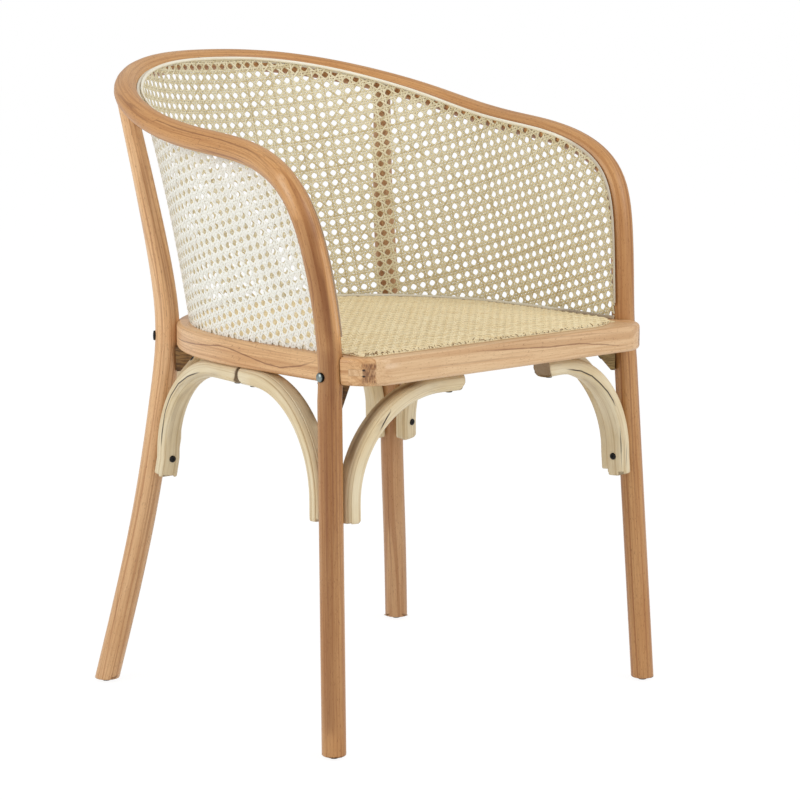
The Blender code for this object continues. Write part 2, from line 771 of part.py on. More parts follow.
class Brace:
    """A quarter arch from a leg's side to the underside of a rail, where its last part runs level."""

    def __init__(self, name, leg_foot, leg_straight, leg_radius, rail_end, run):
        self.name = name
        heading = Vector((rail_end.x - leg_foot.x, rail_end.y - leg_foot.y, 0)).normalized()
        stand_off = leg_radius + GAP + BRACE_THICKNESS / 2
        self.low = leg_foot + heading * stand_off
        self.bend = leg_straight + heading * stand_off
        self.end = Vector((rail_end.x, rail_end.y, FRAME_BOTTOM - GAP - BRACE_THICKNESS / 2))
        across = Vector((self.end.x - self.bend.x, self.end.y - self.bend.y, 0))
        self.heading = across.normalized()
        self.reach = across.length - run
        self.rise = self.end.z - self.bend.z

    def path(self):
        points = [self.low, self.bend]
        centre = self.bend + self.heading * self.reach
        for k in range(1, BRACE_STEPS + 1):
            angle = pi / 2 * k / BRACE_STEPS
            points.append(centre - self.heading * self.reach * cos(angle) + UP * self.rise * sin(angle))
        points.append(self.end)
        return points

    def build(self):
        points = self.path()
        rings = sweep_rings(points, [brace_section()] * len(points), self.heading)
        return finish(self.name, loft(rings), RATTAN)

    def lower_screw(self):
        along = (self.bend - self.low).normalized()
        outward = (self.heading - along * self.heading.dot(along)).normalized()
        point = self.low + along * LOWER_SCREW_HEIGHT
        return point + outward * (BRACE_THICKNESS / 2), -outward

    def upper_screw(self):
        point = self.end - self.heading * UPPER_SCREW_MARGIN
        return point - UP * (BRACE_THICKNESS / 2), UP


def headed_pin(name, seat, direction, head_radius, head_height, shank_radius, length, recipe):
    """A domed head standing off a surface point, with a shank going in."""
    direction = direction.normalized()
    start = seat - direction * GAP
    profile = [(head_radius * DOME_TIP_SHARE, -head_height), (head_radius * DOME_SHARE, -head_height / 2),
               (head_radius, 0), (shank_radius, 0), (shank_radius, length)]
    sections = [round_section(PIN_SIDES, radius) for radius, _ in profile]
    side = direction.orthogonal().normalized()
    across = direction.cross(side)
    rings = []
    for (_, reach), section in zip(profile, sections):
        rings.append([start + direction * reach + side * a + across * b for a, b in section])
    return finish(name, loft(rings), recipe)


def fasten(name, seat, direction, size, recipe, through):
    """A headed pin and its hole in each piece that it goes through."""
    head_radius, head_height, shank_radius, length = size
    direction = direction.normalized()
    for target in through:
        carve(target, pin(seat - direction * OVERRUN, direction, length + OVERRUN + GAP, shank_radius + GAP))
    return headed_pin(name, seat, direction, head_radius, head_height, shank_radius, length, recipe)


def bow_middle(depth, side):
    """Middle of the bow's width on one side, at a depth."""
    reach = FRAME_DEPTH - FRAME_STRAIGHT_DEPTH
    share = max(depth - FRAME_STRAIGHT_DEPTH, 0) / reach
    half_width = FRAME_HALF_WIDTH * (1 - share**FRAME_POWER) ** (1 / FRAME_POWER)
    return place(side * (half_width - BOW_WIDTH / 2), depth, 0)


def braces():
    made = []
    for name, side in SIDES:
        def leg(at, height):
            return flip(at(height), side)
        front_foot_point = leg(front_leg_at, BRACE_FOOT_HEIGHT)
        front_bend_point = leg(front_leg_at, BRACE_FOOT_HEIGHT + BRACE_STRAIGHT)
        rear_foot_point = leg(rear_leg_at, BRACE_FOOT_HEIGHT)
        rear_bend_point = leg(rear_leg_at, BRACE_FOOT_HEIGHT + BRACE_STRAIGHT)
        meeting = FRAME_STRAIGHT_DEPTH + SIDE_BRACE_MEETING_OFFSET
        inward = Vector((-side * BRACE_LEG_SHIFT, 0, 0))
        front_end = place(side * FRONT_BRACE_END, FRONT_BRACE_DEPTH, 0)
        made.append((Brace("front_brace_" + name, front_foot_point, front_bend_point,
                           ROD_RADIUS, front_end, FRONT_BRACE_RUN), "front"))
        before = bow_middle(meeting - SIDE_BRACE_GAP / 2, side)
        made.append((Brace("side_brace_front_" + name, front_foot_point + inward, front_bend_point + inward,
                           ROD_RADIUS, before, SIDE_FRONT_BRACE_RUN), "front"))
        behind = bow_middle(meeting + SIDE_BRACE_GAP / 2, side)
        nudge = Vector((-side * REAR_BRACE_LEG_SHIFT, -REAR_BRACE_LEG_SHIFT, 0))
        made.append((Brace("side_brace_rear_" + name, rear_foot_point + nudge, rear_bend_point + nudge,
                           REAR_LEG_RADIUS, behind, SIDE_REAR_BRACE_RUN), "rear"))
        share = (BACK_BRACE_END / FRAME_HALF_WIDTH) ** FRAME_POWER
        depth = FRAME_STRAIGHT_DEPTH + (FRAME_DEPTH - FRAME_STRAIGHT_DEPTH) * (1 - share) ** (1 / FRAME_POWER)
        back_end = place(side * BACK_BRACE_END, depth - BOW_WIDTH / 2, 0)
        back_bend_point = leg(rear_leg_at, BRACE_FOOT_HEIGHT + BACK_BRACE_STRAIGHT)
        made.append((Brace("back_brace_" + name, rear_foot_point, back_bend_point,
                           REAR_LEG_RADIUS, back_end, BACK_BRACE_RUN), "rear"))
    return made


def make_block(name, axis_point, heading, notch):
    """A wedge under the frame beside a leg, with a sloping face towards the middle of the seat."""
    top = FRAME_BOTTOM - GAP
    across = heading.cross(UP)
    origin = Vector((axis_point.x, axis_point.y, top))
    radius = ROD_RADIUS
    start = radius * BLOCK_START_SHARE
    upper = [(start, -BLOCK_HALF_WIDTH), (radius + BLOCK_REACH, -BLOCK_HALF_WIDTH),
             (radius + BLOCK_REACH, BLOCK_HALF_WIDTH), (start, BLOCK_HALF_WIDTH)]
    lower = [(start, -BLOCK_TOE_HALF_WIDTH), (radius + BLOCK_TOE_REACH, -BLOCK_TOE_HALF_WIDTH),
             (radius + BLOCK_TOE_REACH, BLOCK_TOE_HALF_WIDTH), (start, BLOCK_TOE_HALF_WIDTH)]
    rings = [[origin + heading * s + across * w - UP * BLOCK_DROP for s, w in lower],
             [origin + heading * s + across * w for s, w in upper]]
    made = finish(name, loft(rings), BLOCK)
    carve(made, notch)
    face_middle = origin + heading * (radius + (BLOCK_REACH + BLOCK_TOE_REACH) / 2) - UP * (BLOCK_DROP / 2)
    slope = atan2(BLOCK_REACH - BLOCK_TOE_REACH, BLOCK_DROP)
    inward = (-heading * cos(slope) + UP * sin(slope)).normalized()
    return made, face_middle, inward


def make_chair():
    rod = make_rod()
    rear_legs = {name: make_rear_leg("rear_leg_" + name, side) for name, side in SIDES}
    bow, rail = split_frame()
    lowest = FRAME_BOTTOM - NOTCH_REACH
    highest = SEAT_HEIGHT + NOTCH_REACH
    rear_path = [rear_leg_at(lowest + (highest - lowest) * k / NOTCH_STEPS) for k in range(NOTCH_STEPS + 1)]
    half = half_rod()
    front_path = [point for point in half if FRAME_BOTTOM - OVERRUN < point.z < highest]
    front_path = [front_leg_at(lowest)] + sorted(front_path, key=lambda point: point.z)
    for name, side in SIDES:
        notch_radius = REAR_LEG_RADIUS + GAP
        carve(bow, leg_notch(rear_path, notch_radius, side))
        for piece in (bow, rail):
            carve(piece, leg_notch(front_path, ROD_RADIUS + GAP * 2, side))
        leg_top = rear_leg_path()[-1]
        nearest = min(range(len(half)), key=lambda i: (half[i] - leg_top).length)
        rod_part = half[max(nearest - 3, 0):nearest + 4]
        carve(rear_legs[name], leg_notch(rod_part, ROD_RADIUS + GAP, side))
    _, top, foot = make_wall()
    make_top_trim(top, foot)
    make_foot_trim(foot)
    make_board()
    make_seat_cane()
    screw = (SCREW_HEAD_RADIUS, SCREW_HEAD_HEIGHT, SCREW_SHANK_RADIUS, SCREW_LENGTH)
    front_bolt = (BOLT_HEAD_RADIUS, BOLT_HEAD_HEIGHT, BOLT_SHANK_RADIUS, FRONT_BOLT_LENGTH)
    rear_bolt = (BOLT_HEAD_RADIUS, REAR_BOLT_HEAD_HEIGHT, BOLT_SHANK_RADIUS, REAR_BOLT_LENGTH)
    block_bolt = (SCREW_HEAD_RADIUS, SCREW_HEAD_HEIGHT, SCREW_SHANK_RADIUS, BLOCK_BOLT_LENGTH)
    for brace, place_name in braces():
        arch = brace.build()
        side_name = brace.name.split("_")[-1]
        leg = rod if place_name == "front" else rear_legs[side_name]
        support = rail if brace.name.startswith("front") else bow
        seat, direction = brace.lower_screw()
        fasten(brace.name + "_leg_screw", seat, direction, screw, BLACK_STEEL, [arch, leg])
        seat, direction = brace.upper_screw()
        fasten(brace.name + "_rail_screw", seat, direction, screw, BLACK_STEEL, [arch, support])
    frame_middle = (SEAT_HEIGHT + FRAME_BOTTOM) / 2
    diagonal = 1 / 2**0.5
    for name, side in SIDES:
        axis = flip(front_leg_at(frame_middle - FRONT_BOLT_DROP), side)
        outward = Vector((side, 0, 0))
        fasten("front_leg_bolt_" + name, axis + outward * ROD_RADIUS, -outward, front_bolt, ZINC,
               [rod, bow, rail])
        axis = flip(rear_leg_at(frame_middle - REAR_BOLT_DROP), side)
        outward = Vector((side * diagonal, diagonal, 0))
        fasten("rear_leg_bolt_" + name, axis + outward * REAR_LEG_RADIUS, -outward, rear_bolt,
               BLACK_STEEL, [rear_legs[name], bow])
        ends = (("front", front_leg_at, front_path, 1), ("rear", rear_leg_at, rear_path, -1))
        for end, at, path, forward in ends:
            radius = ROD_RADIUS + GAP if end == "front" else REAR_LEG_RADIUS + GAP
            heading = Vector((-side * diagonal, forward * diagonal, 0))
            corner = flip(at(FRAME_BOTTOM), side)
            if end == "front":
                corner += Vector((-side, -1, 0)) * (diagonal * FRONT_BLOCK_SHIFT)
            block, seat, direction = make_block("corner_block_" + end + "_" + name, corner, heading,
                                                leg_notch(path, radius + GAP, side))
            fasten("block_bolt_" + end + "_" + name, seat, direction, block_bolt, BLACK_STEEL, [block, bow])
            foot_point = flip(at(0), side)
            glide_seat = Vector((foot_point.x, foot_point.y, GLIDE_HEIGHT))
            leg = rod if end == "front" else rear_legs[name]
            carve(leg, pin(glide_seat - UP * OVERRUN, UP, NAIL_LENGTH + OVERRUN + GAP, NAIL_RADIUS + GAP))
            profile = [(GLIDE_RADIUS * GLIDE_SOLE_SHARE, 0), (GLIDE_RADIUS, GLIDE_HEIGHT / 2),
                       (GLIDE_RADIUS, GLIDE_HEIGHT), (NAIL_RADIUS, GLIDE_HEIGHT),
                       (NAIL_RADIUS, GLIDE_HEIGHT + NAIL_LENGTH)]
            rings = []
            for size, height in profile:
                outline = round_section(GLIDE_SIDES, size)
                rings.append([Vector((foot_point.x + a, foot_point.y + b, height)) for a, b in outline])
            finish("glide_" + end + "_" + name, loft(rings), GLIDE)


clear_scene()
add_chair_empty()
make_chair()
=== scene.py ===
"""Bentwood armchair with a cane back and seat: its finished pieces, the studio and the camera."""

from math import cos, pi, radians, sin, sqrt

import bmesh
import bpy
import numpy as np
from mathutils import Matrix, Vector


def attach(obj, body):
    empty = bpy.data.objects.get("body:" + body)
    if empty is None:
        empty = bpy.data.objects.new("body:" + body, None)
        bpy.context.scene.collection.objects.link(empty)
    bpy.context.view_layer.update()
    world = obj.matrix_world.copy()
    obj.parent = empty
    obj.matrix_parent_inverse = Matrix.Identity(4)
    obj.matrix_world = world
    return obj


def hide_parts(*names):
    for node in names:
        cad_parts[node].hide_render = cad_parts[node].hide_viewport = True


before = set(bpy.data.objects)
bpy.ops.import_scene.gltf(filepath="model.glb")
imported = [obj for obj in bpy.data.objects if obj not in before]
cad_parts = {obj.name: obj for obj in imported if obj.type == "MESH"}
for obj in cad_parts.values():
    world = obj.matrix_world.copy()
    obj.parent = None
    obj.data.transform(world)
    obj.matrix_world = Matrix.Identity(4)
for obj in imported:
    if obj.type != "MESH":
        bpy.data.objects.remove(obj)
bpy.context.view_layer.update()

SIDES = (("left", 1), ("right", -1))
HAIR = 0.0003
OVERRUN = 0.01
SAME_PLACE = 2e-5

# The bent rod's centreline, from the top of a front leg to the middle of the back
ROD_LINE = (
    (0.2358, -0.2359, 0.4602), (0.2438, -0.2244, 0.5527), (0.2512, -0.1937, 0.6272),
    (0.2470, -0.1226, 0.6640), (0.2478, -0.0357, 0.6763), (0.2480, 0.0430, 0.6885),
    (0.2358, 0.1098, 0.7054), (0.2088, 0.1664, 0.7212), (0.1691, 0.2127, 0.7347),
    (0.1193, 0.2477, 0.7448), (0.0615, 0.2694, 0.7505), (0.0, 0.2763, 0.7520),
)
ROD_STEPS = 9
ROD_RADIUS = 0.0143
ROD_FINISHED_RADIUS = 0.0139
FRONT_FOOT = (0.2527, -0.2611, 0.0)
FRONT_LEG_TOP = 0.400
FRONT_LEG_STEPS = 56
BELOW_FLOOR = 0.012
FOOT_LEVEL = 0.0033
FOOT_BEVEL = 0.0015
REAR_LEG_TOP = 0.7212
REAR_LINE = (
    (0.2418, 0.1808, 0.0), (0.2203, 0.1603, 0.12), (0.2009, 0.1439, 0.24), (0.1872, 0.1307, 0.36),
    (0.1806, 0.1279, 0.45), (0.1857, 0.1429, 0.55), (0.1978, 0.1593, 0.65), (0.2079, 0.1707, REAR_LEG_TOP),
)
REAR_STEPS = 12
REAR_SPACING = 0.006
REAR_TAPER_START = 0.440
REAR_LEG_RADIUS = 0.0148
REAR_LEG_TOP_RADIUS = 0.0106
REAR_TOP_GAP = 0.0001
GRAIN_SPACING = 0.004

# Depths are measured back from the front of the seat frame, and MIDDLE_DEPTH is the depth of Y = 0
MIDDLE_DEPTH = 0.29065
SEAT_HEIGHT = 0.4495
FRAME_HEIGHT = 0.0312
FRAME_BOTTOM = SEAT_HEIGHT - FRAME_HEIGHT
FRAME_MIDDLE = (SEAT_HEIGHT + FRAME_BOTTOM) / 2
FRAME_HALF_WIDTH = 0.2350
FRAME_DEPTH = 0.476
FRAME_STRAIGHT_DEPTH = 0.205
FRAME_CORNER_RADIUS = 0.0460
FRAME_EDGE = 0.0050
FRAME_POWER = 2.35
FRONT_STEPS, CORNER_STEPS, SIDE_STEPS, BACK_STEPS = 24, 16, 30, 48
BOW_WIDTH = 0.033
RAIL_WIDTH = 0.044
INNER_CORNER = 0.012
LEDGE_WIDTH = 0.008
LEDGE_DROP = 0.0123
BRIDLE_WIDTH = 0.0245
BRIDLE_DEPTH = 0.028
BRIDLE_HALF_HEIGHT = 0.0036
JOINT_GAP = 0.00018
EDGE_MARGIN = 0.0014
EDGE_CUTS = 13
NOTCH_FOOT, NOTCH_BEND, NOTCH_TOP = 0.37, 0.405, 0.51
NOTCH_STEP = 0.01
FRONT_NOTCH_GAP = 0.0012
REAR_NOTCH_GAP = 0.0004
BOW_GRAIN_START = -0.33
BOW_GRAIN_MARGIN = 0.004
BOW_GRAIN_SPACING = 0.003
RAIL_GRAIN_DEPTH = 0.02
RAIL_GRAIN_REACH = 0.26

# The end of the bow that shows beside the front rail: where its edges begin and end to show, and its pits
BOW_END_INNER, BOW_END_OUTER = (0.2098, 0.2118), (0.2212, 0.2240)
BOW_END_LOW, BOW_END_HIGH = (0.4205, 0.4245), (0.4420, 0.4460)
BOW_END_FRONT = (-0.262, -0.256)
PIT_X, PIT_HEIGHTS = 0.2214, (0.4300, 0.4368)
PIT_EDGE = (0.0007, 0.0017)
PIT_FRONT = (-0.256, -0.252)

# The cane's wall and seat, their six-way weave and their beads
PITCH = 0.0127
WEAVE_SPREAD = 0.115
STRAND_LIFT = 0.00062
FLAT_LIFT_SHARE = 0.55
STRAND_SECTION = np.array([(-0.50, -0.30), (0.50, -0.30), (0.46, 0.12), (0.24, 0.42), (-0.24, 0.42),
                           (-0.46, 0.12)])
SHOULDERS = (2, 5)
FIRST_CAP = np.array([(5, 2, 1, 0), (5, 4, 3, 2)])
LAST_CAP = np.array([(0, 1, 2, 5), (2, 3, 4, 5)])
EDGE_HALVINGS = 7
SHORTEST_STEP = 0.0004
STRAND_WOBBLE = 0.00012
STRAND_WIDTH_SPREAD = 0.06
CANE_HALF = 0.0008
WALL_POWER = 2.15
WALL_STEPS = 40
WALL_SIDE_INSET = 0.0095
WALL_BACK_INSET = 0.0075
WALL_TURN_DEPTH = 0.30051
WALL_MIDDLE_DEPTH = 0.2835
WALL_SWEEP = 0.62
WALL_SWELL = 0.0030
WALL_SADDLE = 0.0035
WALL_FOOT_TUCK = 0.0002
WALL_TOP_TUCK = 0.0004
WALL_STRAND = (0.0023, 0.0010)
SEAT_STRAND = (0.0026, 0.0009)
SEAT_CORNERS = (0.018, 0.080)
SEAT_FRONT_INSET = 0.0170
SEAT_GAP = 0.0012
SEAT_EDGE_LIFT = 0.0018
SEAT_CROWN = 0.0032
SEAT_REACH_SHARE = 0.997
STRAND_SINK = 0.0006
UNDERLAY_SINK = 0.0010
UNDERLAY_SHARES = (1.0, 0.97, 0.9, 0.8, 0.7, 0.6, 0.5, 0.4, 0.3, 0.2, 0.1)
FRAYED_DEPTH = 0.020
FRAY_EDGE_DEPTH = 0.016
TORN_LENGTH = 0.045
FRAY_SIDES = 6
FRAY_SHARES = (0.8, 1.0, 0.5)
FRAY_MISSING_SHARE = 0.08
FRAY_SHIFT = 0.0006
FRAY_LENGTH, FRAY_LENGTH_SPREAD = 0.0030, 0.0050
FRAY_RADIUS, FRAY_RADIUS_SPREAD = 0.00045, 0.0004
FRAY_INSET = 0.010
FRAY_SLOPE = 0.06
FRAY_LIFT, FRAY_LIFT_SPREAD = 0.0012, 0.0008
FRAY_RISE, FRAY_RISE_SPREAD = 0.0010, 0.0006
FRAY_BEND = 0.0005
BEAD_WIDTH = 0.0042
BEAD_THICKNESS = 0.0024
JOINT_BEAD_WIDTH = 0.0050
JOINT_BEAD_THICKNESS = 0.0036
JOINT_BEAD_SINK = 0.0021
JOINT_BEAD_RISE = 0.0012
BEAD_END = (-0.13, -0.16)
BEAD_END_SLIMMING = 0.6

BRACE_THICKNESS = 0.0205
BRACE_WIDTH = 0.0265
BRACE_FOOT_HEIGHT = 0.2630
BRACE_BEND_HEIGHT = 0.284
BACK_BRACE_BEND_HEIGHT = 0.302
BRACE_END_SHARES = (0.94, 0.95)
STRIP_SLIDE_SPREAD = 0.0010
LOW_END_DRAW_BACK = 0.0002
HIGH_END_SLANT = 0.0065
GROOVES = (18, 62, 118, 160, 214, 243, 288, 322)
GROOVE_HALF_ANGLE = 3.6
GROOVE_DEPTH = 0.0006
GROOVE_CLEAR_ANGLE = 5.5
FRONT_BRACE_END = (0.0665, 0.0255)
SIDE_BRACE_END_DEPTH = 0.220
REAR_BRACE_END_DEPTH = 0.225
BACK_BRACE_END_X = 0.040
SIDE_BRACE_SHIFT = 0.0045
REAR_BRACE_SHIFT = 0.0032

LOW_SCREW_RISE = 0.0215
HIGH_SCREW_INSET = 0.0140
FRONT_BOLT_DROP = 0.0065
REAR_BOLT_DROP = 0.0040

CAMERA_PLACE = (-2.2183, -2.5329, 0.8973)
CAMERA_AHEAD = (0.6638, 0.7302, -0.1616)
CAMERA_LENS = 125.118
CAMERA_SENSOR = 36
PICTURE = 800
LINE_REACH = 0.012
FLOOR_GLOW_SHARE = 0.86
FLOOR_GLOW = 1.075
AIR_STRENGTH = 0.62
LAMPS = (
    ("soft_key", (0.9, -3.2, 2.9), (0, 0, 0.45), 2.2, 60),
    ("soft_side", (-3.2, 0.4, 1.9), (0, 0, 0.4), 2.0, 41),
)


def vec(*values):
    return np.array(values, float)


def unit(v):
    return v / np.linalg.norm(v)


def units(rows):
    return rows / np.linalg.norm(rows, axis=1)[:, None]


def square_to(rows, axes):
    """Unit directions like the rows, turned square to the axes beside them."""
    return units(rows - axes * (rows * axes).sum(1)[:, None])


def ramp(values, start, end):
    """Rises from 0 to 1 while the values go from start to end."""
    return np.clip((values - start) / (end - start), 0, 1)


def flip(points, side):
    return np.asarray(points, float) * vec(side, 1, 1)


def smooth_curve(stations, steps):
    """A curve through stations whose bend changes evenly."""
    points = np.array(stations, float)
    count = len(points)
    matrix = np.zeros((count, count))
    target = np.zeros_like(points)
    for i in range(count):
        before, after = max(i - 1, 0), min(i + 1, count - 1)
        matrix[i, i] = 4 if before < i < after else 2
        if before < i:
            matrix[i, before] = 1
        if after > i:
            matrix[i, after] = 1
        target[i] = 3 * (points[after] - points[before])
    slopes = np.linalg.solve(matrix, target)
    curve = []
    for i in range(count - 1):
        for k in range(steps):
            t = k / steps
            curve.append((2 * t**3 - 3 * t**2 + 1) * points[i] + (t**3 - 2 * t**2 + t) * slopes[i]
                         + (3 * t**2 - 2 * t**3) * points[i + 1] + (t**3 - t**2) * slopes[i + 1])
    curve.append(points[-1])
    return np.array(curve)


def run_lengths(path):
    return np.concatenate([[0], np.cumsum(np.linalg.norm(np.diff(path, axis=0), axis=1))])


def even(path, spacing):
    """The same path with evenly spaced points."""
    lengths = run_lengths(path)
    count = max(int(round(lengths[-1] / spacing)), 2)
    at = np.linspace(0, lengths[-1], count + 1)
    return np.stack([np.interp(at, lengths, path[:, k]) for k in range(3)], axis=1)


def headings(path):
    padded = np.concatenate([path[:1], path, path[-1:]])
    return units(padded[2:] - padded[:-2])


def guides(path, side):
    """Forward, sideways and across directions along a path, carried without twist."""
    forward = headings(path)
    sideways, across = [], []
    for ahead in forward:
        side = unit(side - ahead * side.dot(ahead))
        sideways.append(side)
        across.append(np.cross(ahead, side))
    return forward, np.array(sideways), np.array(across)


def front_leg_at(height):
    foot, seat = vec(*FRONT_FOOT), vec(*ROD_LINE[0])
    return foot + (seat - foot) * (height / seat[2])


def half_rod():
    """Centreline from the middle of the back to the top of the straight leg on the +X side."""
    leg_top = front_leg_at(FRONT_LEG_TOP)
    stations = [vec(*p) for p in reversed(ROD_LINE)]
    mirrored = [flip(p, -1) for p in reversed(stations[1:])]
    curve = smooth_curve([flip(leg_top, -1)] + mirrored + stations + [leg_top], ROD_STEPS)
    return curve[len(curve) // 2:]


def rear_leg_at(height):
    line = smooth_curve(REAR_LINE, REAR_STEPS)
    return vec(np.interp(height, line[:, 2], line[:, 0]), np.interp(height, line[:, 2], line[:, 1]), height)


def rear_leg_radius(height):
    share = ramp(height, REAR_TAPER_START, REAR_LEG_TOP)
    return REAR_LEG_RADIUS + (REAR_LEG_TOP_RADIUS - REAR_LEG_RADIUS) * share


def only(piece):
    """Leaves one object selected and active."""
    bpy.ops.object.select_all(action="DESELECT")
    piece.select_set(True)
    bpy.context.view_layer.objects.active = piece


def dress(piece, finish):
    piece.data.materials.clear()
    piece.data.materials.append(finish)


def settle(piece, node):
    """Puts a finished piece on the chair's one body, in place of its plain CAD node."""
    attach(piece, "root")
    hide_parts(node)


def in_scene(name, data):
    """A new object of the scene for a mesh, a lamp or a camera."""
    made = bpy.data.objects.new(name, data)
    bpy.context.scene.collection.objects.link(made)
    return made


def primitive(name, tool, **settings):
    """A new primitive at the origin, added with nothing else selected."""
    bpy.ops.object.select_all(action="DESELECT")
    tool(location=(0, 0, 0), **settings)
    piece = bpy.context.object
    piece.name = name
    return piece


def add_object(name, points, faces, finish):
    mesh = bpy.data.meshes.new(name)
    mesh.from_pydata(np.asarray(points, float).tolist(), [], [list(f) for f in faces])
    mesh.update()
    piece = in_scene(name, mesh)
    dress(piece, finish)
    return piece


def turn_faces_out(piece):
    """Merges a piece's doubled points and turns its faces outwards."""
    loose = bmesh.new()
    loose.from_mesh(piece.data)
    bmesh.ops.remove_doubles(loose, verts=loose.verts, dist=1e-6)
    bmesh.ops.recalc_face_normals(loose, faces=loose.faces)
    loose.to_mesh(piece.data)
    loose.free()


def round_off(piece, angle=35):
    """Shades a piece smooth, with sharp edges past an angle."""
    turn_faces_out(piece)
    piece.data.shade_smooth()
    piece.data.set_sharp_from_angle(angle=radians(angle))


def ring_faces(rings, around):
    """Faces between rings of the same count, and over both ends."""
    faces = []
    for i in range(rings - 1):
        for k in range(around):
            m = (k + 1) % around
            faces.append((i * around + k, i * around + m, (i + 1) * around + m, (i + 1) * around + k))
    faces.append(tuple(reversed(range(around))))
    faces.append(tuple((rings - 1) * around + k for k in range(around)))
    return faces


def mesh_points(piece):
    flat = np.zeros(len(piece.data.vertices) * 3, np.float32)
    piece.data.vertices.foreach_get("co", flat)
    return flat.reshape(-1, 3).astype(float)


def set_vectors(piece, name, values):
    """Stores a vector for each of a piece's points, and leaves out any past the last."""
    flat = np.asarray(values, np.float32).reshape(-1, 3)[:len(piece.data.vertices)]
    piece.data.attributes.new(name, "FLOAT_VECTOR", "POINT").data.foreach_set("vector", flat.reshape(-1))


def shape(piece, test, tool, **settings):
    """Uses one edit tool on the part of a piece whose points pass a test."""
    only(piece)
    mesh = piece.data
    good = test(mesh_points(piece))
    ends = np.zeros(len(mesh.edges) * 2, np.int32)
    mesh.edges.foreach_get("vertices", ends)
    mesh.vertices.foreach_set("select", good)
    mesh.edges.foreach_set("select", good[ends].reshape(-1, 2).all(axis=1))
    inside = [all(good[i] for i in face.vertices) for face in mesh.polygons]
    mesh.polygons.foreach_set("select", inside)
    bpy.context.tool_settings.mesh_select_mode = (False, True, False)
    bpy.ops.object.mode_set(mode="EDIT")
    tool(**settings)
    bpy.ops.object.mode_set(mode="OBJECT")


def everywhere(points):
    return np.ones(len(points), bool)


def at_height(height):
    return lambda points: np.abs(points[:, 2] - height) < SAME_PLACE


def draw_out(piece, test, amount):
    """Extrudes the chosen face along Z."""
    shape(piece, test, bpy.ops.mesh.extrude_region_move, TRANSFORM_OT_translate={"value": (0, 0, amount)})


def bent_round(name, path, radii):
    """A round piece bent along a path: a curve with a round section, made a mesh."""
    radii = np.asarray(radii) * np.ones(len(path))
    piece = primitive(name, bpy.ops.curve.primitive_bezier_curve_add)
    piece.data.splines.clear()
    line = piece.data.splines.new("POLY")
    line.points.add(len(path) - 1)
    line.points.foreach_set("co", np.column_stack([path, np.ones(len(path))]).reshape(-1))
    line.points.foreach_set("radius", radii / max(radii))
    piece.data.bevel_depth = max(radii)
    piece.data.bevel_resolution = 7
    piece.data.use_fill_caps = True
    bpy.ops.object.convert(target="MESH")
    piece = bpy.context.object
    turn_faces_out(piece)
    return piece


def level_foot(piece):
    """Cuts a leg level at its foot and eases the edge."""
    shape(piece, everywhere, bpy.ops.mesh.bisect, plane_co=(0, 0, FOOT_LEVEL), plane_no=(0, 0, 1),
          use_fill=True, clear_inner=True)
    shape(piece, at_height(FOOT_LEVEL), bpy.ops.mesh.bevel, offset=FOOT_BEVEL, segments=3)


def plate(name, outline, low, high):
    """A flat piece from its outline, drawn up to its thickness."""
    piece = primitive(name, bpy.ops.mesh.primitive_circle_add, vertices=len(outline), fill_type="NGON")
    for vertex, (x, y) in zip(piece.data.vertices, outline):
        vertex.co = (x, y, low)
    draw_out(piece, at_height(low), high - low)
    turn_faces_out(piece)
    return piece


def box(low, high):
    low, high = np.minimum(low, high), np.maximum(low, high)
    piece = primitive("cutter", bpy.ops.mesh.primitive_cube_add, size=1)
    for vertex in piece.data.vertices:
        vertex.co = Vector((low + high) / 2 + (high - low) * vec(*vertex.co))
    return piece


def cut_away(piece, cutter):
    """Cuts a closed shape out of a piece."""
    modifier = piece.modifiers.new("cut", "BOOLEAN")
    modifier.operation = "DIFFERENCE"
    modifier.solver = "EXACT"
    modifier.object = cutter
    only(piece)
    bpy.ops.object.modifier_apply(modifier=modifier.name)
    bpy.data.objects.remove(cutter, do_unlink=True)


def follow_grain(piece, path, side, shift=(0, 0, 0)):
    """Stores for each point where it lies in the wood: sideways, across and along a path."""
    forward, sideways, across = guides(path, side)
    lengths = run_lengths(path)
    values = []
    for point in mesh_points(piece):
        near = np.linalg.norm(path - point, axis=1).argmin()
        rel = point - path[near]
        along = lengths[near] + rel.dot(forward[near])
        values.append((rel.dot(sideways[near]), rel.dot(across[near]), along))
    set_vectors(piece, "grain", np.array(values) + vec(*shift))


def seen_on(piece, spots):
    """Where the camera's lines through spots of the picture meet a piece, and its normals there."""
    ahead = Vector(CAMERA_AHEAD).normalized()
    right = ahead.cross(Vector((0, 0, 1))).normalized()
    up = right.cross(ahead)
    scale = CAMERA_SENSOR / CAMERA_LENS / PICTURE
    bpy.context.view_layer.update()
    places, normals = [], []
    for u, v in spots:
        line = ahead + right * ((u - PICTURE / 2) * scale) + up * ((PICTURE / 2 - v) * scale)
        hit, place, normal, _ = piece.ray_cast(Vector(CAMERA_PLACE), line.normalized())
        if hit:
            places.append(vec(*place))
            normals.append(vec(*normal))
    return np.array(places), np.array(normals)


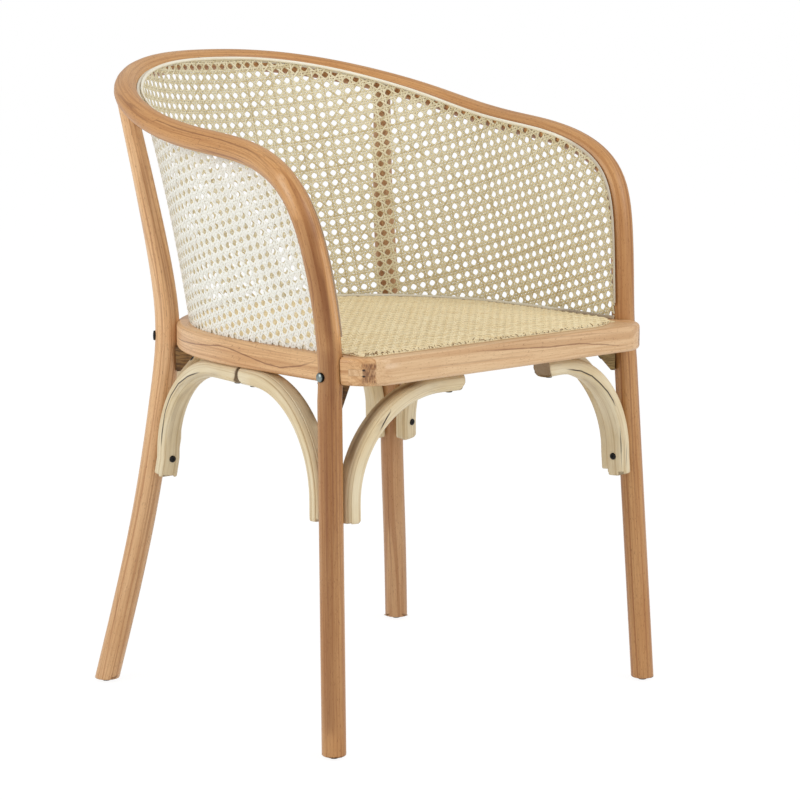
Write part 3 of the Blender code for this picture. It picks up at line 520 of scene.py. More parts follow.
class Marks:
    """Dark lines and broad darker or lighter streaks on a piece of wood, kept in its mark attribute; some of
    them are painted shade and painted highlights.

    It holds the distance to the nearest line, that line's strength, and how much darker the place is, which
    on some pieces is painted shade.
    """

    def __init__(self, piece, shade=None):
        self.piece = piece
        self.points = mesh_points(piece)
        self.values = np.zeros_like(self.points)
        self.values[:, 0] = 1.0
        if shade is not None:
            self.values[:, 2] = shade(self.points)

    def from_line(self, spots, fade):
        """Distance to a drawn line, less than 0 on one side of it, and how fully the line shows there."""
        places, normals = seen_on(self.piece, spots)
        best = np.full(len(self.points), 1.0)
        share = np.zeros(len(self.points))
        lengths = run_lengths(places)
        for i in range(len(places) - 1):
            along = places[i + 1] - places[i]
            rel = self.points - places[i]
            t = np.clip(rel @ along / (along @ along), 0, 1)
            apart = rel - t[:, None] * along
            distance = np.linalg.norm(apart, axis=1)
            hand = np.sign(apart @ np.cross(normals[i], along))
            closer = distance < np.abs(best)
            best = np.where(closer, distance * np.where(hand == 0, 1, hand), best)
            passed = lengths[i] + t * (lengths[i + 1] - lengths[i])
            share = np.where(closer, passed / lengths[-1], share)
        return best, ramp(np.minimum(share, 1 - share), 0, fade)

    def draw(self, lines=(), streaks=()):
        """Draws lines of a strength and streaks of a half width and an amount, fading at their ends."""
        for strength, fade, spots in lines:
            best, reach = self.from_line(spots, fade)
            closer = np.abs(best) < np.abs(self.values[:, 0])
            self.values[closer, 0] = best[closer]
            near = closer & (np.abs(best) < LINE_REACH)
            self.values[:, 1] = np.where(near, strength * reach, self.values[:, 1])
        for half_width, amount, fade, spots in streaks:
            best, reach = self.from_line(spots, fade)
            self.values[:, 2] += amount * reach * np.exp(-(best / half_width) ** 2)
        set_vectors(self.piece, "mark", self.values)


def tint(red, green, blue):
    """A colour as it is seen, 0 to 255, for a shader."""
    parts = [v / 255 for v in (red, green, blue)]
    return tuple(v / 12.92 if v <= 0.04045 else ((v + 0.055) / 1.055) ** 2.4 for v in parts) + (1,)


class Nodes:
    """A node tree, to which nodes are added one at a time."""

    def __init__(self, tree):
        self.tree = tree

    def put(self, socket, value):
        if isinstance(value, bpy.types.NodeSocket):
            self.tree.links.new(value, socket)
        else:
            socket.default_value = value

    def node(self, kind, settings=None, **sockets):
        made = self.tree.nodes.new(kind)
        for key, value in (settings or {}).items():
            setattr(made, key, value)
        for key, value in sockets.items():
            index = int(key[1:]) if key[1:].isdigit() else key.replace("_", " ")
            self.put(made.inputs[index], value)
        return made

    def maths(self, operation, *values, kind="ShaderNodeMath"):
        made = self.node(kind, {"operation": operation})
        for socket, value in zip(made.inputs, values):
            self.put(socket, value)
        return made.outputs[0]

    def times(self, first, second):
        return self.maths("MULTIPLY", first, second)

    def vmaths(self, operation, *values):
        return self.maths(operation, *values, kind="ShaderNodeVectorMath")

    def length(self, vector):
        return self.node("ShaderNodeVectorMath", {"operation": "LENGTH"}, i0=vector).outputs["Value"]

    def mixed(self, share, first, second):
        return self.node("ShaderNodeMixShader", i0=share, i1=first, i2=second).outputs[0]


class Recipe(Nodes):
    """A material, whose colour is built up one tone over another."""

    def __init__(self, name):
        self.made = bpy.data.materials.new(name)
        self.made.use_nodes = True
        super().__init__(self.made.node_tree)
        self.shader = self.tree.nodes["Principled BSDF"]

    def stored(self, name):
        return self.node("ShaderNodeAttribute", {"attribute_name": name}).outputs["Vector"]

    def place(self):
        return self.node("ShaderNodeTexCoord").outputs["Object"]

    def split(self, vector):
        return self.node("ShaderNodeSeparateXYZ", i0=vector).outputs

    def noise(self, vector, scales, detail=2.0, rough=0.5, result="Fac"):
        """Noise along a vector, at a scale per metre for each of its parts."""
        scaled = self.vmaths("MULTIPLY", vector, scales)
        made = self.node("ShaderNodeTexNoise", Vector=scaled, Scale=1.0, Detail=detail, Roughness=rough)
        return made.outputs[result]

    def ease(self, value, low, high, start=0.0, end=1.0):
        smooth = {"interpolation_type": "SMOOTHSTEP"}
        made = self.node("ShaderNodeMapRange", smooth, i0=value, i1=low, i2=high, i3=start, i4=end)
        return made.outputs[0]

    def fade(self, value, low, high):
        return self.ease(value, low, high, 1.0, 0.0)

    def blend(self, share, first, second):
        return self.node("ShaderNodeMix", {"data_type": "RGBA"}, i0=share, i6=first, i7=second).outputs[2]

    def tone(self, colour, share, amount=None):
        """Lays a colour over the recipe's own by a share, at its fullest by the amount."""
        if amount is not None:
            share = self.times(share, amount)
        self.colour = self.blend(share, self.colour, colour)

    def bump(self, height, strength, distance):
        made = self.node("ShaderNodeBump", Height=height, Strength=strength, Distance=distance)
        return made.outputs["Normal"]

    def surface(self, **sockets):
        for key, value in sockets.items():
            self.put(self.shader.inputs[key.replace("_", " ")], value)
        return self.made


def beech_wood(name, light, middle, dark, deep, end_grain=False):
    """Oiled beech: growth rings, fibres, short dark flecks and broad changes of tone along the bend."""
    wood = Recipe(name)
    grain = wood.stored("grain")
    mark = wood.split(wood.stored("mark"))
    sway = wood.vmaths("SUBTRACT", wood.noise(grain, (4.0, 4.0, 2.3), 1.0, result="Color"), (0.5, 0.5, 0.5))
    moved = wood.vmaths("ADD", grain, wood.vmaths("MULTIPLY", sway, (0.022, 0.022, 0.0)))
    from_pith = wood.vmaths("MULTIPLY", wood.vmaths("ADD", moved, (0.021, 0.034, 0.0)), (1.0, 1.0, 0.0))
    ring_place = wood.maths("DIVIDE", wood.length(from_pith), 0.0034)
    rings = wood.node("ShaderNodeTexNoise", {"noise_dimensions": "1D"}, W=ring_place, Scale=1.0, Detail=1.5)
    late = wood.ease(rings.outputs["Fac"], 0.53, 0.68)
    fibre = wood.noise(grain, (1500.0, 1500.0, 34.0), 3.0, 0.6)
    streak = wood.noise(grain, (420.0, 420.0, 5.0))
    fleck = wood.ease(wood.noise(grain, (1150.0, 1150.0, 230.0), 1.0), 0.64, 0.70)
    broad = wood.noise(grain, (26.0, 26.0, 6.0))
    wood.colour = wood.blend(wood.ease(broad, 0.32, 0.68), light, middle)
    wood.tone(dark, late, 0.55)
    wood.tone(dark, wood.ease(streak, 0.46, 0.66), 0.46)
    wood.tone(dark, wood.ease(fibre, 0.40, 0.72), 0.42)
    wood.tone(deep, fleck, 0.45)
    # The mark's third part: above 0 it darkens towards the deep tone, among them grain streaks and painted
    # shade; below 0 it lightens, among them painted highlights.
    wood.tone(deep, wood.maths("MAXIMUM", mark[2], 0.0))
    wood.tone(tint(238, 208, 176), wood.maths("MAXIMUM", wood.times(mark[2], -1.0), 0.0))
    # Dark lines from the mark, one of them painted shade along an edge of the rod's hoop.
    ragged = wood.noise(grain, (260.0, 260.0, 60.0))
    beside = wood.maths("DIVIDE", wood.maths("ABSOLUTE", mark[0]), wood.times(ragged, 0.0016))
    line = wood.times(wood.fade(beside, 0.4, 1.6), mark[1])
    wood.tone(tint(122, 72, 38), line)
    relief = wood.maths("ADD", wood.times(fibre, 0.6), wood.times(fleck, -0.5))
    if end_grain:
        relief = add_end_grain(wood, relief)
    normal = wood.bump(wood.maths("SUBTRACT", relief, wood.times(line, 0.5)), 0.14, 0.0006)
    rough = wood.ease(broad, 0.2, 0.8, 0.38, 0.52)
    return wood.surface(Base_Color=wood.colour, Roughness=rough, Normal=normal, Specular_IOR_Level=0.42,
                        Coat_Weight=0.15, Coat_Roughness=0.26)


def add_end_grain(wood, relief):
    """The bow's cut ends beside the front corners: darker, with fine rays and two pits in each."""
    place = wood.place()
    x, y, z = wood.split(place)[:3]
    out = wood.maths("ABSOLUTE", x)
    wander = wood.noise(place, (140.0, 140.0, 140.0))
    ragged = wood.maths("ADD", out, wood.times(wood.maths("SUBTRACT", wander, 0.5), 0.006))
    inside = wood.times(wood.ease(ragged, *BOW_END_INNER), wood.fade(ragged, *BOW_END_OUTER))
    tall = wood.times(wood.ease(z, *BOW_END_LOW), wood.fade(z, *BOW_END_HIGH))
    patch = wood.times(wood.times(inside, tall), wood.fade(y, *BOW_END_FRONT))
    rays = wood.noise(place, (900.0, 900.0, 160.0), 3.0)
    wood.tone(tint(158, 108, 66), patch, 0.62)
    wood.tone(tint(104, 62, 34), wood.times(patch, wood.ease(rays, 0.42, 0.60)), 0.75)
    pits = 0.0
    for height in PIT_HEIGHTS:
        aside = wood.node("ShaderNodeCombineXYZ", X=wood.maths("SUBTRACT", out, PIT_X), Y=0.0,
                          Z=wood.maths("SUBTRACT", z, height)).outputs[0]
        pit = wood.fade(wood.length(aside), *PIT_EDGE)
        pits = wood.maths("ADD", wood.times(pit, wood.fade(y, *PIT_FRONT)), pits)
    wood.tone(tint(48, 26, 14), pits)
    return wood.maths("SUBTRACT", relief, wood.times(pits, 1.5))


def split_rattan(name, light, middle, dark):
    """Peeled rattan: long fibres, tan streaks, open pores on the cut ends and a few dark splits."""
    rattan = Recipe(name)
    grain = rattan.stored("grain")
    mark = rattan.split(rattan.stored("mark"))
    fibre = rattan.noise(grain, (900.0, 900.0, 14.0), 3.0, 0.65)
    streak = rattan.noise(grain, (260.0, 260.0, 3.0))
    patch = rattan.noise(grain, (40.0, 40.0, 16.0))
    scaled = rattan.vmaths("MULTIPLY", grain, (1500.0, 1500.0, 40.0))
    pores = rattan.node("ShaderNodeTexVoronoi", Vector=scaled, Scale=1.0)
    pore = rattan.fade(pores.outputs["Distance"], 0.12, 0.30)
    split_line = rattan.times(rattan.fade(rattan.maths("ABSOLUTE", mark[0]), 0.0005, 0.0011), mark[1])
    rattan.colour = rattan.blend(rattan.ease(patch, 0.32, 0.72), light, middle)
    rattan.tone(dark, rattan.ease(streak, 0.50, 0.72), 0.55)
    rattan.tone(dark, rattan.ease(fibre, 0.45, 0.80), 0.45)
    rattan.tone(tint(120, 86, 50), pore, 0.16)
    # Darker where the mark's third part says: the braces' cut ends, streaks, painted shade on one brace's
    # convex face under the seat, and the beads' painted shade.
    rattan.tone(tint(112, 78, 46), mark[2])
    rattan.tone(tint(44, 26, 14), split_line)
    relief = rattan.maths("SUBTRACT", fibre, rattan.times(pore, 0.4))
    normal = rattan.bump(rattan.maths("SUBTRACT", relief, split_line), 0.30, 0.0007)
    return rattan.surface(Base_Color=rattan.colour, Roughness=rattan.ease(patch, 0.2, 0.8, 0.46, 0.62),
                          Normal=normal, Specular_IOR_Level=0.40)


def woven_cane(name, light, middle, dark, outside, fleck_tone):
    """Strands of cane with a slight gloss: each has its own tone, long fibres and darker ends, with painted
    shade along its sides and a painted highlight on the face turned out of the wall.
    """
    cane = Recipe(name)
    grain = cane.stored("grain")
    strand = cane.split(cane.stored("strand"))
    fibre = cane.noise(grain, (2400.0, 900.0, 45.0))
    patch = cane.noise(grain, (90.0, 90.0, 26.0))
    cane.colour = cane.blend(cane.ease(patch, 0.30, 0.72), light, middle)
    cane.tone(dark, cane.ease(strand[0], 0.55, 1.0), 0.60)
    cane.tone(dark, cane.ease(fibre, 0.5, 0.8), 0.30)
    # Painted highlight: the face that each strand turns out of the wall, and down from the seat, is laid
    # over with the pale outside colour.
    cane.tone(outside, strand[2], 0.75)
    cane.tone(fleck_tone, cane.ease(cane.noise(grain, (1300.0, 700.0, 420.0)), 0.56, 0.66), 0.42)
    # Darker ends, and painted shade along each strand's sides.
    cane.tone(tint(92, 64, 34), strand[1])
    return cane.surface(Base_Color=cane.colour, Roughness=cane.ease(patch, 0.2, 0.8, 0.38, 0.55),
                        Normal=cane.bump(fibre, 0.25, 0.0003), Specular_IOR_Level=0.45)


def board_sheet(name, light, dark):
    """Pale fibrous underside of the cane, glued to the board."""
    sheet = Recipe(name)
    place = sheet.place()
    fine = sheet.noise(place, (1500.0, 1500.0, 1500.0), 3.0)
    broad = sheet.noise(place, (30.0, 30.0, 30.0))
    sheet.colour = sheet.blend(sheet.ease(broad, 0.3, 0.7), light, dark)
    sheet.tone(dark, sheet.ease(fine, 0.5, 0.7), 0.35)
    return sheet.surface(Base_Color=sheet.colour, Roughness=0.7, Normal=sheet.bump(fine, 0.3, 0.0004))


def plated_metal(name, colour, metallic, low, high, speck):
    """Plated or blackened steel with faint turning marks and specks, and a painted shadow where its mark
    attribute says.
    """
    metal = Recipe(name)
    place = metal.place()
    fine = metal.noise(place, (1800.0, 1800.0, 1800.0), 3.0)
    cloud = metal.noise(place, (500.0, 500.0, 500.0))
    metal.colour = colour
    metal.tone(speck, metal.ease(cloud, 0.45, 0.75), 0.5)
    # Painted shadow: near black where the mark's third part says, a ring round the dome's edge.
    metal.tone(tint(24, 22, 20), metal.split(metal.stored("mark"))[2])
    rough = metal.ease(fine, 0.2, 0.8, low, high)
    return metal.surface(Base_Color=metal.colour, Metallic=metallic, Roughness=rough,
                         Normal=metal.bump(fine, 0.2, 0.0002))


def block_wood(name, light, dark):
    """A corner block's wood: coarse straight grain with dark pores, on the chair's own coordinates; its two
    tones are given dark as painted shade, or paler as painted light.
    """
    wood = Recipe(name)
    place = wood.place()
    coarse = wood.noise(place, (60.0, 60.0, 420.0), 3.0)
    fine = wood.noise(place, (300.0, 300.0, 1500.0))
    wood.colour = wood.blend(wood.ease(coarse, 0.35, 0.65), light, dark)
    wood.tone(tint(58, 36, 20), wood.ease(fine, 0.5, 0.7), 0.4)
    return wood.surface(Base_Color=wood.colour, Roughness=0.6, Normal=wood.bump(fine, 0.25, 0.0005))


BEECH_ROD = beech_wood("beech_rod", tint(223, 172, 113), tint(209, 154, 95), tint(163, 104, 52),
                       tint(112, 58, 14))
BEECH_REAR = beech_wood("beech_rear", tint(241, 198, 148), tint(226, 179, 127), tint(182, 126, 78),
                        tint(126, 78, 44))
BEECH_RAIL = beech_wood("beech_rail", tint(229, 195, 152), tint(220, 181, 137), tint(192, 146, 100),
                        tint(136, 88, 52), end_grain=True)
BEECH_BOW = beech_wood("beech_bow", tint(231, 189, 138), tint(219, 172, 120), tint(180, 126, 77),
                       tint(126, 78, 46), end_grain=True)
RATTAN = split_rattan("rattan_peeled", tint(232, 218, 186), tint(222, 202, 162), tint(186, 158, 114))
TRIM = split_rattan("rattan_bead", tint(248, 245, 230), tint(240, 232, 210), tint(212, 196, 162))
# The fourth colour of each cane is laid on the strands' back faces; near white on the wall, it is a painted
# highlight.
CANE_WALL = woven_cane("cane_wall", tint(238, 230, 200), tint(228, 216, 180), tint(190, 168, 112),
                       tint(250, 252, 250), tint(164, 152, 112))
CANE_SEAT = woven_cane("cane_seat", tint(253, 238, 198), tint(249, 230, 184), tint(226, 198, 142),
                       tint(246, 240, 220), tint(176, 136, 80))
CANE_FRAY = woven_cane("cane_fray", tint(146, 110, 62), tint(118, 84, 46), tint(80, 54, 28),
                       tint(146, 110, 62), tint(70, 46, 24))
SEAT_UNDER = board_sheet("seat_underlay", tint(240, 220, 178), tint(226, 202, 156))
# Painted shade: the corner blocks under the seat in dark brown; painted light: the front-left block paler.
SHADED_BLOCK = block_wood("block_painted_shade", tint(148, 112, 64), tint(92, 64, 34))
LIT_BLOCK = block_wood("block_painted_light", tint(168, 146, 98), tint(122, 100, 58))
ZINC = plated_metal("zinc_bright", tint(142, 152, 150), 1.0, 0.22, 0.38, tint(96, 108, 104))
BLACK = plated_metal("screw_black", tint(30, 29, 28), 0.6, 0.35, 0.55, tint(12, 12, 12))
GLIDE = plated_metal("glide_grey", tint(96, 96, 94), 0.0, 0.45, 0.65, tint(60, 60, 58))


# What the photograph shows on the wood, in spots of the picture: a line has a strength, a fade at its ends
# and its spots, and a streak a half width, an amount, a fade and its spots
ROD_LINES = (
    # The first line is painted shade, along the edge between the hoop's faces.
    (0.60, 0.15, ((120, 93), (127, 101), (135, 107), (150, 118), (160, 121.5), (170, 125.5), (180, 129.5),
                  (200, 134.5), (220, 139.5), (240, 146.5), (250, 150.5), (258, 156), (265, 163),
                  (272, 170))),
    (0.55, 0.15, ((195, 147), (212, 152), (226, 156), (240, 160.5), (250, 167), (262, 177), (270, 186))),
    (0.35, 0.15, ((112, 84), (117, 92), (126, 103), (138, 115), (150, 123))),
    (0.30, 0.15, ((262, 150), (276, 164), (290, 183), (300, 205))),
    (0.55, 0.15, ((303, 252), (309, 272), (313, 292), (314, 320), (316, 345))),
    (0.60, 0.3, ((329, 318), (331, 345), (331, 380), (332, 430), (333, 500), (334, 580))),
    (0.35, 0.3, ((324, 400), (325, 470), (327, 560), (329, 640))),
    (0.35, 0.3, ((338, 395), (339, 460), (340, 540), (341, 620))),
    (0.40, 0.3, ((622, 300), (627, 330), (630, 380), (633, 450), (637, 540))),
    (0.40, 0.3, ((520, 96), (545, 108), (570, 125), (590, 150), (604, 180))),
)
ROD_STREAKS = (
    (0.0062, 0.34, 0.15, ((308, 210), (313, 240), (317, 270), (322, 300), (327, 330), (329, 352))),
    (0.0090, 0.34, 0.03, ((327, 345), (328, 400), (329, 500), (329, 600), (330, 740))),
    (0.0026, 0.30, 0.15, ((321, 255), (324, 282), (327, 300), (330, 322), (332, 345), (333, 420))),
    # The next two streaks, lighter, are painted highlights on lit faces of the arm and the hoop.
    (0.0045, -0.62, 0.15, ((318, 228), (322, 250), (328, 275), (333, 300), (337, 325), (340, 350))),
    (0.0040, -0.45, 0.15, ((277, 170), (284, 186), (291, 204), (297, 222))),
    (0.0011, 0.9, 0.01, ((322.6, 310.4), (323.4, 311.6))),
    (0.0010, 0.7, 0.01, ((141, 117.0), (143, 117.6))),
)
REAR_LEG_LINES = {
    "right": (
        (0.25, 0.3, ((128, 130), (141, 190), (153, 250), (161, 300), (164, 350), (161, 400))),
        (0.30, 0.3, ((137, 480), (128, 530), (120, 580), (114, 630))),
    ),
    "left": ((0.35, 0.3, ((388, 440), (388, 500), (391, 560), (393, 600))),),
}
REAR_LEG_STREAKS = {
    "right": (
        (0.0052, 0.36, 0.1, ((139, 150), (149, 200), (161, 250), (172, 300), (175, 340), (173, 380))),
        (0.0040, -0.25, 0.2, ((130, 150), (140, 210), (150, 260), (158, 300), (160, 340))),
    ),
    "left": (),
}
BOW_LINES = (
    (0.72, 0.08, ((177, 336), (181, 340), (190, 343), (205, 345), (220, 345.5), (231, 349), (247, 356),
                  (265, 363.5), (280, 367.5), (300, 366), (316, 361))),
    (0.28, 0.3, ((186, 331), (205, 335.5), (230, 341), (262, 349), (300, 357))),
    (0.25, 0.3, ((190, 352), (215, 357), (240, 364), (270, 373))),
)
RAIL_LINES = (
    (0.62, 0.2, ((470, 352), (520, 348.5), (550, 347), (580, 343.5), (602, 344.5), (636, 346.5))),
    (0.30, 0.3, ((400, 371), (440, 366), (490, 360), (540, 354))),
    (0.30, 0.3, ((500, 343), (540, 339), (590, 334), (630, 332))),
)
# Painted highlight along the rounded top edge of the rail near a front corner.
RAIL_STREAKS = ((0.0028, -0.55, 0.2, ((384, 367), (392, 366), (400, 365))),)
BRACE_LINES = {
    "front_brace_right": ((1.0, 0.1, ((380, 431), (385, 421), (391, 411))),),
    "front_brace_left": (
        (0.95, 0.1, ((566, 369), (581, 371), (592, 376), (600, 383), (608, 392), (614, 402), (616, 408))),
        (0.7, 0.3, ((620, 425), (621, 445), (622, 474))),
        (0.5, 0.3, ((626, 418), (627, 440), (627, 470))),
    ),
    "side_brace_rear_right": (
        (0.9, 0.08, ((161, 448), (162, 432), (165, 412), (170, 397), (178, 384), (188, 376), (200, 372))),
    ),
}
BRACE_STREAKS = {
    "front_brace_right": (
        # The first two streaks are painted shade, on the brace's upper convex face under the seat.
        (0.0042, 0.18, 0.05, ((346, 470), (352, 440), (362, 415), (378, 395), (400, 386), (440, 384),
                              (466, 375))),
        (0.0050, 0.85, 0.1, ((349, 468), (352, 452), (360, 434), (368, 421), (376, 409), (385, 400),
                             (395, 392), (407, 386), (424, 382))),
        (0.0016, 0.7, 0.2, ((378, 430), (381, 424), (385, 416))),
    ),
    "front_brace_left": (
        (0.0030, 0.9, 0.01, ((591, 393), (593, 395))),
        (0.0028, 0.40, 0.15, ((602, 405), (603, 430), (604, 468))),
        (0.0030, 0.22, 0.15, ((566, 375), (582, 378), (598, 392))),
    ),
    "side_brace_front_right": (
        (0.0046, 0.55, 0.15, ((272, 371), (286, 380), (300, 394), (311, 412), (316, 424))),
    ),
    "side_brace_rear_right": (
        (0.0022, 0.30, 0.15, ((170, 446), (173, 416), (180, 398), (192, 386), (208, 379))),
        (0.0030, 0.28, 0.15, ((172, 400), (180, 386), (196, 376), (224, 374))),
    ),
}


def rod_shade(points):
    """How dark the rod is: light at the back, browner on the far arm and towards the front legs."""
    x, y, z = points.T
    right_arm = (x > 0) * ramp(z, 0.60, 0.65) * ramp(y, 0.1, 0.0)
    return 0.10 + 0.08 * right_arm + 0.22 * ramp(y, -0.05, -0.22) * ramp(z, 0.66, 0.56)


def make_rod():
    half = half_rod()
    below = front_leg_at(-BELOW_FLOOR)
    legs = [half[-1] + (below - half[-1]) * k / FRONT_LEG_STEPS for k in range(1, FRONT_LEG_STEPS + 1)]
    right = np.concatenate([half, legs])
    path = np.concatenate([flip(right[:0:-1], -1), right])
    piece = bent_round("bent_rod_finished", path, ROD_FINISHED_RADIUS)
    level_foot(piece)
    dress(piece, BEECH_ROD)
    round_off(piece)
    follow_grain(piece, even(path, GRAIN_SPACING), vec(1, 0, 0))
    Marks(piece, rod_shade).draw(ROD_LINES, ROD_STREAKS)
    settle(piece, "bent_rod")


def make_rear_leg(name, side):
    """A tapered leg, hollowed at its top where it meets the rod."""
    heights = np.concatenate([np.arange(0.0, REAR_LEG_TOP, REAR_SPACING), [REAR_LEG_TOP]])
    path = np.array([flip(rear_leg_at(h), side) for h in heights])
    below = path[0] - (path[1] - path[0]) * 2
    path = np.concatenate([below[None], path])
    piece = bent_round("rear_leg_finished_" + name, path, [rear_leg_radius(h) for h in path[:, 2]])
    level_foot(piece)
    dress(piece, BEECH_REAR)
    rod = half_rod()
    near = np.linalg.norm(rod - rear_leg_at(REAR_LEG_TOP), axis=1).argmin()
    beside = flip(rod[max(near - ROD_STEPS, 0):near + ROD_STEPS + 1], side)
    cut_away(piece, bent_round("cutter", beside, ROD_FINISHED_RADIUS + REAR_TOP_GAP))
    round_off(piece)
    follow_grain(piece, even(path, GRAIN_SPACING), vec(1, 0, 0), (0.3 * side, 0.1, 1.7 + side))
    # Painted shade: both rear legs darker below the seat, the +X leg darker all over.
    marks = Marks(piece, lambda points: 0.16 * ramp(points[:, 2], 0.46, 0.26) + 0.24 * (side > 0))
    marks.draw(REAR_LEG_LINES[name], REAR_LEG_STREAKS[name])
    settle(piece, "rear_leg_" + name)


def round_end(half_width, reach, steps, power):
    points = []
    for k in range(steps + 1):
        angle = pi / 2 * k / steps
        across = max(cos(angle), 0.0) ** (2 / power)
        points.append((half_width * across, FRAME_STRAIGHT_DEPTH + reach * sin(angle) ** (2 / power)))
    return points


def frame_half(inset, front_inset, corner, back_inset=None, power=FRAME_POWER):
    """Half of the frame's outline, or of one inside it, from the middle of the front to that of the back."""
    half_width = FRAME_HALF_WIDTH - inset
    cx, cd = half_width - corner, front_inset + corner
    points = [(cx * k / FRONT_STEPS, front_inset) for k in range(FRONT_STEPS)]
    for k in range(CORNER_STEPS + 1):
        angle = pi / 2 * k / CORNER_STEPS
        points.append((cx + corner * sin(angle), cd - corner * cos(angle)))
    for k in range(1, SIDE_STEPS):
        points.append((half_width, cd + (FRAME_STRAIGHT_DEPTH - cd) * k / SIDE_STEPS))
    reach = FRAME_DEPTH - (inset if back_inset is None else back_inset) - FRAME_STRAIGHT_DEPTH
    return points + round_end(half_width, reach, BACK_STEPS, power)


def at_depths(half, height):
    return np.array([(x, depth - MIDDLE_DEPTH, height) for x, depth in half])


def closed_ring(half, height):
    right = at_depths(half, height)
    return np.concatenate([right, flip(right[-2:0:-1], -1)])


def frame_blank():
    """The whole seat frame: a plate with rounded edges, its opening, and a ledge for the board."""
    low, high = FRAME_BOTTOM, SEAT_HEIGHT
    outside = closed_ring(frame_half(0, 0, FRAME_CORNER_RADIUS), 0)[:, :2]
    piece = plate("seat_frame_blank", outside, low, high)
    for height in (low, high):
        shape(piece, at_height(height), bpy.ops.mesh.bevel, offset=FRAME_EDGE, segments=5,
              clamp_overlap=False)
    margin = FRAME_EDGE + EDGE_MARGIN
    for height in np.linspace(low + margin, high - margin, EDGE_CUTS):
        shape(piece, everywhere, bpy.ops.mesh.bisect, plane_co=(0, 0, height), plane_no=(0, 0, 1))
    for inset, floor in ((0, low - OVERRUN), (LEDGE_WIDTH, high - LEDGE_DROP)):
        half = frame_half(BOW_WIDTH - inset, RAIL_WIDTH - inset, INNER_CORNER)
        cut_away(piece, plate("cutter", closed_ring(half, 0)[:, :2], floor, high + OVERRUN))
    turn_faces_out(piece)
    return piece


def front_leg_notch(side):
    """Path and radius of a front leg's notch in the bow and the rail."""
    rod = half_rod()
    beside = rod[(rod[:, 2] > NOTCH_BEND) & (rod[:, 2] < NOTCH_TOP) & (rod[:, 1] < 0)]
    line = np.concatenate([[front_leg_at(NOTCH_FOOT)], beside[beside[:, 2].argsort()]])
    return flip(line, side), ROD_FINISHED_RADIUS + FRONT_NOTCH_GAP


def rear_leg_notch(side):
    heights = np.arange(NOTCH_FOOT, NOTCH_TOP + NOTCH_STEP, NOTCH_STEP)
    return flip(np.array([rear_leg_at(h) for h in heights]), side), REAR_LEG_RADIUS + REAR_NOTCH_GAP


def split_frame(bow, rail):
    """Cuts two copies of the frame to the bow and the rail, whose tongues lie in the bow's ends."""
    rail_end = FRAME_HALF_WIDTH - BRIDLE_WIDTH
    far = FRAME_HALF_WIDTH + OVERRUN
    front, back = -MIDDLE_DEPTH - OVERRUN, FRAME_DEPTH - MIDDLE_DEPTH + OVERRUN
    inner_back = RAIL_WIDTH + INNER_CORNER - MIDDLE_DEPTH
    behind = inner_back + OVERRUN
    joint = BRIDLE_DEPTH - MIDDLE_DEPTH
    low, high = FRAME_BOTTOM - OVERRUN, SEAT_HEIGHT + OVERRUN
    tongue_low, tongue_high = FRAME_MIDDLE - BRIDLE_HALF_HEIGHT, FRAME_MIDDLE + BRIDLE_HALF_HEIGHT
    cut_away(bow, box(vec(-rail_end, front, low), vec(rail_end, inner_back, high)))
    cut_away(rail, box(vec(-far, inner_back - JOINT_GAP, low), vec(far, back, high)))
    for _, side in SIDES:
        edge, slot, out = side * (rail_end - JOINT_GAP), side * (rail_end - OVERRUN), side * far
        cut_away(bow, box(vec(slot, front, tongue_low), vec(out, joint, tongue_high)))
        cut_away(rail, box(vec(edge, front, low), vec(out, behind, tongue_low + JOINT_GAP)))
        cut_away(rail, box(vec(edge, front, tongue_high - JOINT_GAP), vec(out, behind, high)))
        cut_away(rail, box(vec(edge, joint - JOINT_GAP, low), vec(out, behind, high)))
        cut_away(bow, bent_round("cutter", *front_leg_notch(side)))
        cut_away(rail, bent_round("cutter", *front_leg_notch(side)))
        cut_away(bow, bent_round("cutter", *rear_leg_notch(side)))


def bow_grain():
    """The path that the bow's grain follows: along its middle, from one front corner round to the other."""
    half = frame_half(BOW_WIDTH / 2, BOW_WIDTH / 2, FRAME_CORNER_RADIUS - BOW_WIDTH / 2)
    right = at_depths(half, FRAME_MIDDLE)
    bend = right[np.argmax(right[:, 0] > FRAME_HALF_WIDTH - BRIDLE_WIDTH + BOW_GRAIN_MARGIN):]
    path = np.concatenate([[(bend[0, 0], BOW_GRAIN_START, FRAME_MIDDLE)], bend])
    return even(np.concatenate([path, flip(path[-2::-1], -1)]), BOW_GRAIN_SPACING)


def make_frame():
    bow = frame_blank()
    rail = in_scene("seat_front_rail_finished", bow.data.copy())
    bow.name = "seat_bow_finished"
    dress(bow, BEECH_BOW)
    dress(rail, BEECH_RAIL)
    split_frame(bow, rail)
    for piece in (bow, rail):
        round_off(piece, 30)
    follow_grain(bow, bow_grain(), vec(1, 0, 0), (0.06, 0.03, 3.1))
    stations = np.linspace(-RAIL_GRAIN_REACH, RAIL_GRAIN_REACH, 120)
    rail_path = at_depths([(x, RAIL_GRAIN_DEPTH) for x in stations], FRAME_MIDDLE)
    follow_grain(rail, rail_path, vec(0, 0, 1), (0.02, 0.08, 5.3))
    Marks(bow, lambda points: 0.14 * ramp(points[:, 1], -0.02, -0.12) - 0.10).draw(BOW_LINES)
    Marks(rail).draw(RAIL_LINES, RAIL_STREAKS)
    settle(bow, "seat_bow")
    settle(rail, "seat_front_rail")


def wall_base_half():
    """The +X half of the wall's foot round the back of the frame, from the back to the side."""
    reach = FRAME_DEPTH - WALL_BACK_INSET - FRAME_STRAIGHT_DEPTH
    points = round_end(FRAME_HALF_WIDTH - WALL_SIDE_INSET, reach, WALL_STEPS, WALL_POWER)
    return at_depths(points[::-1], SEAT_HEIGHT + HAIR)


def point_along(path, share):
    lengths = run_lengths(path)
    at = share * lengths[-1]
    return np.array([np.interp(at, lengths, path[:, k]) for k in range(3)])


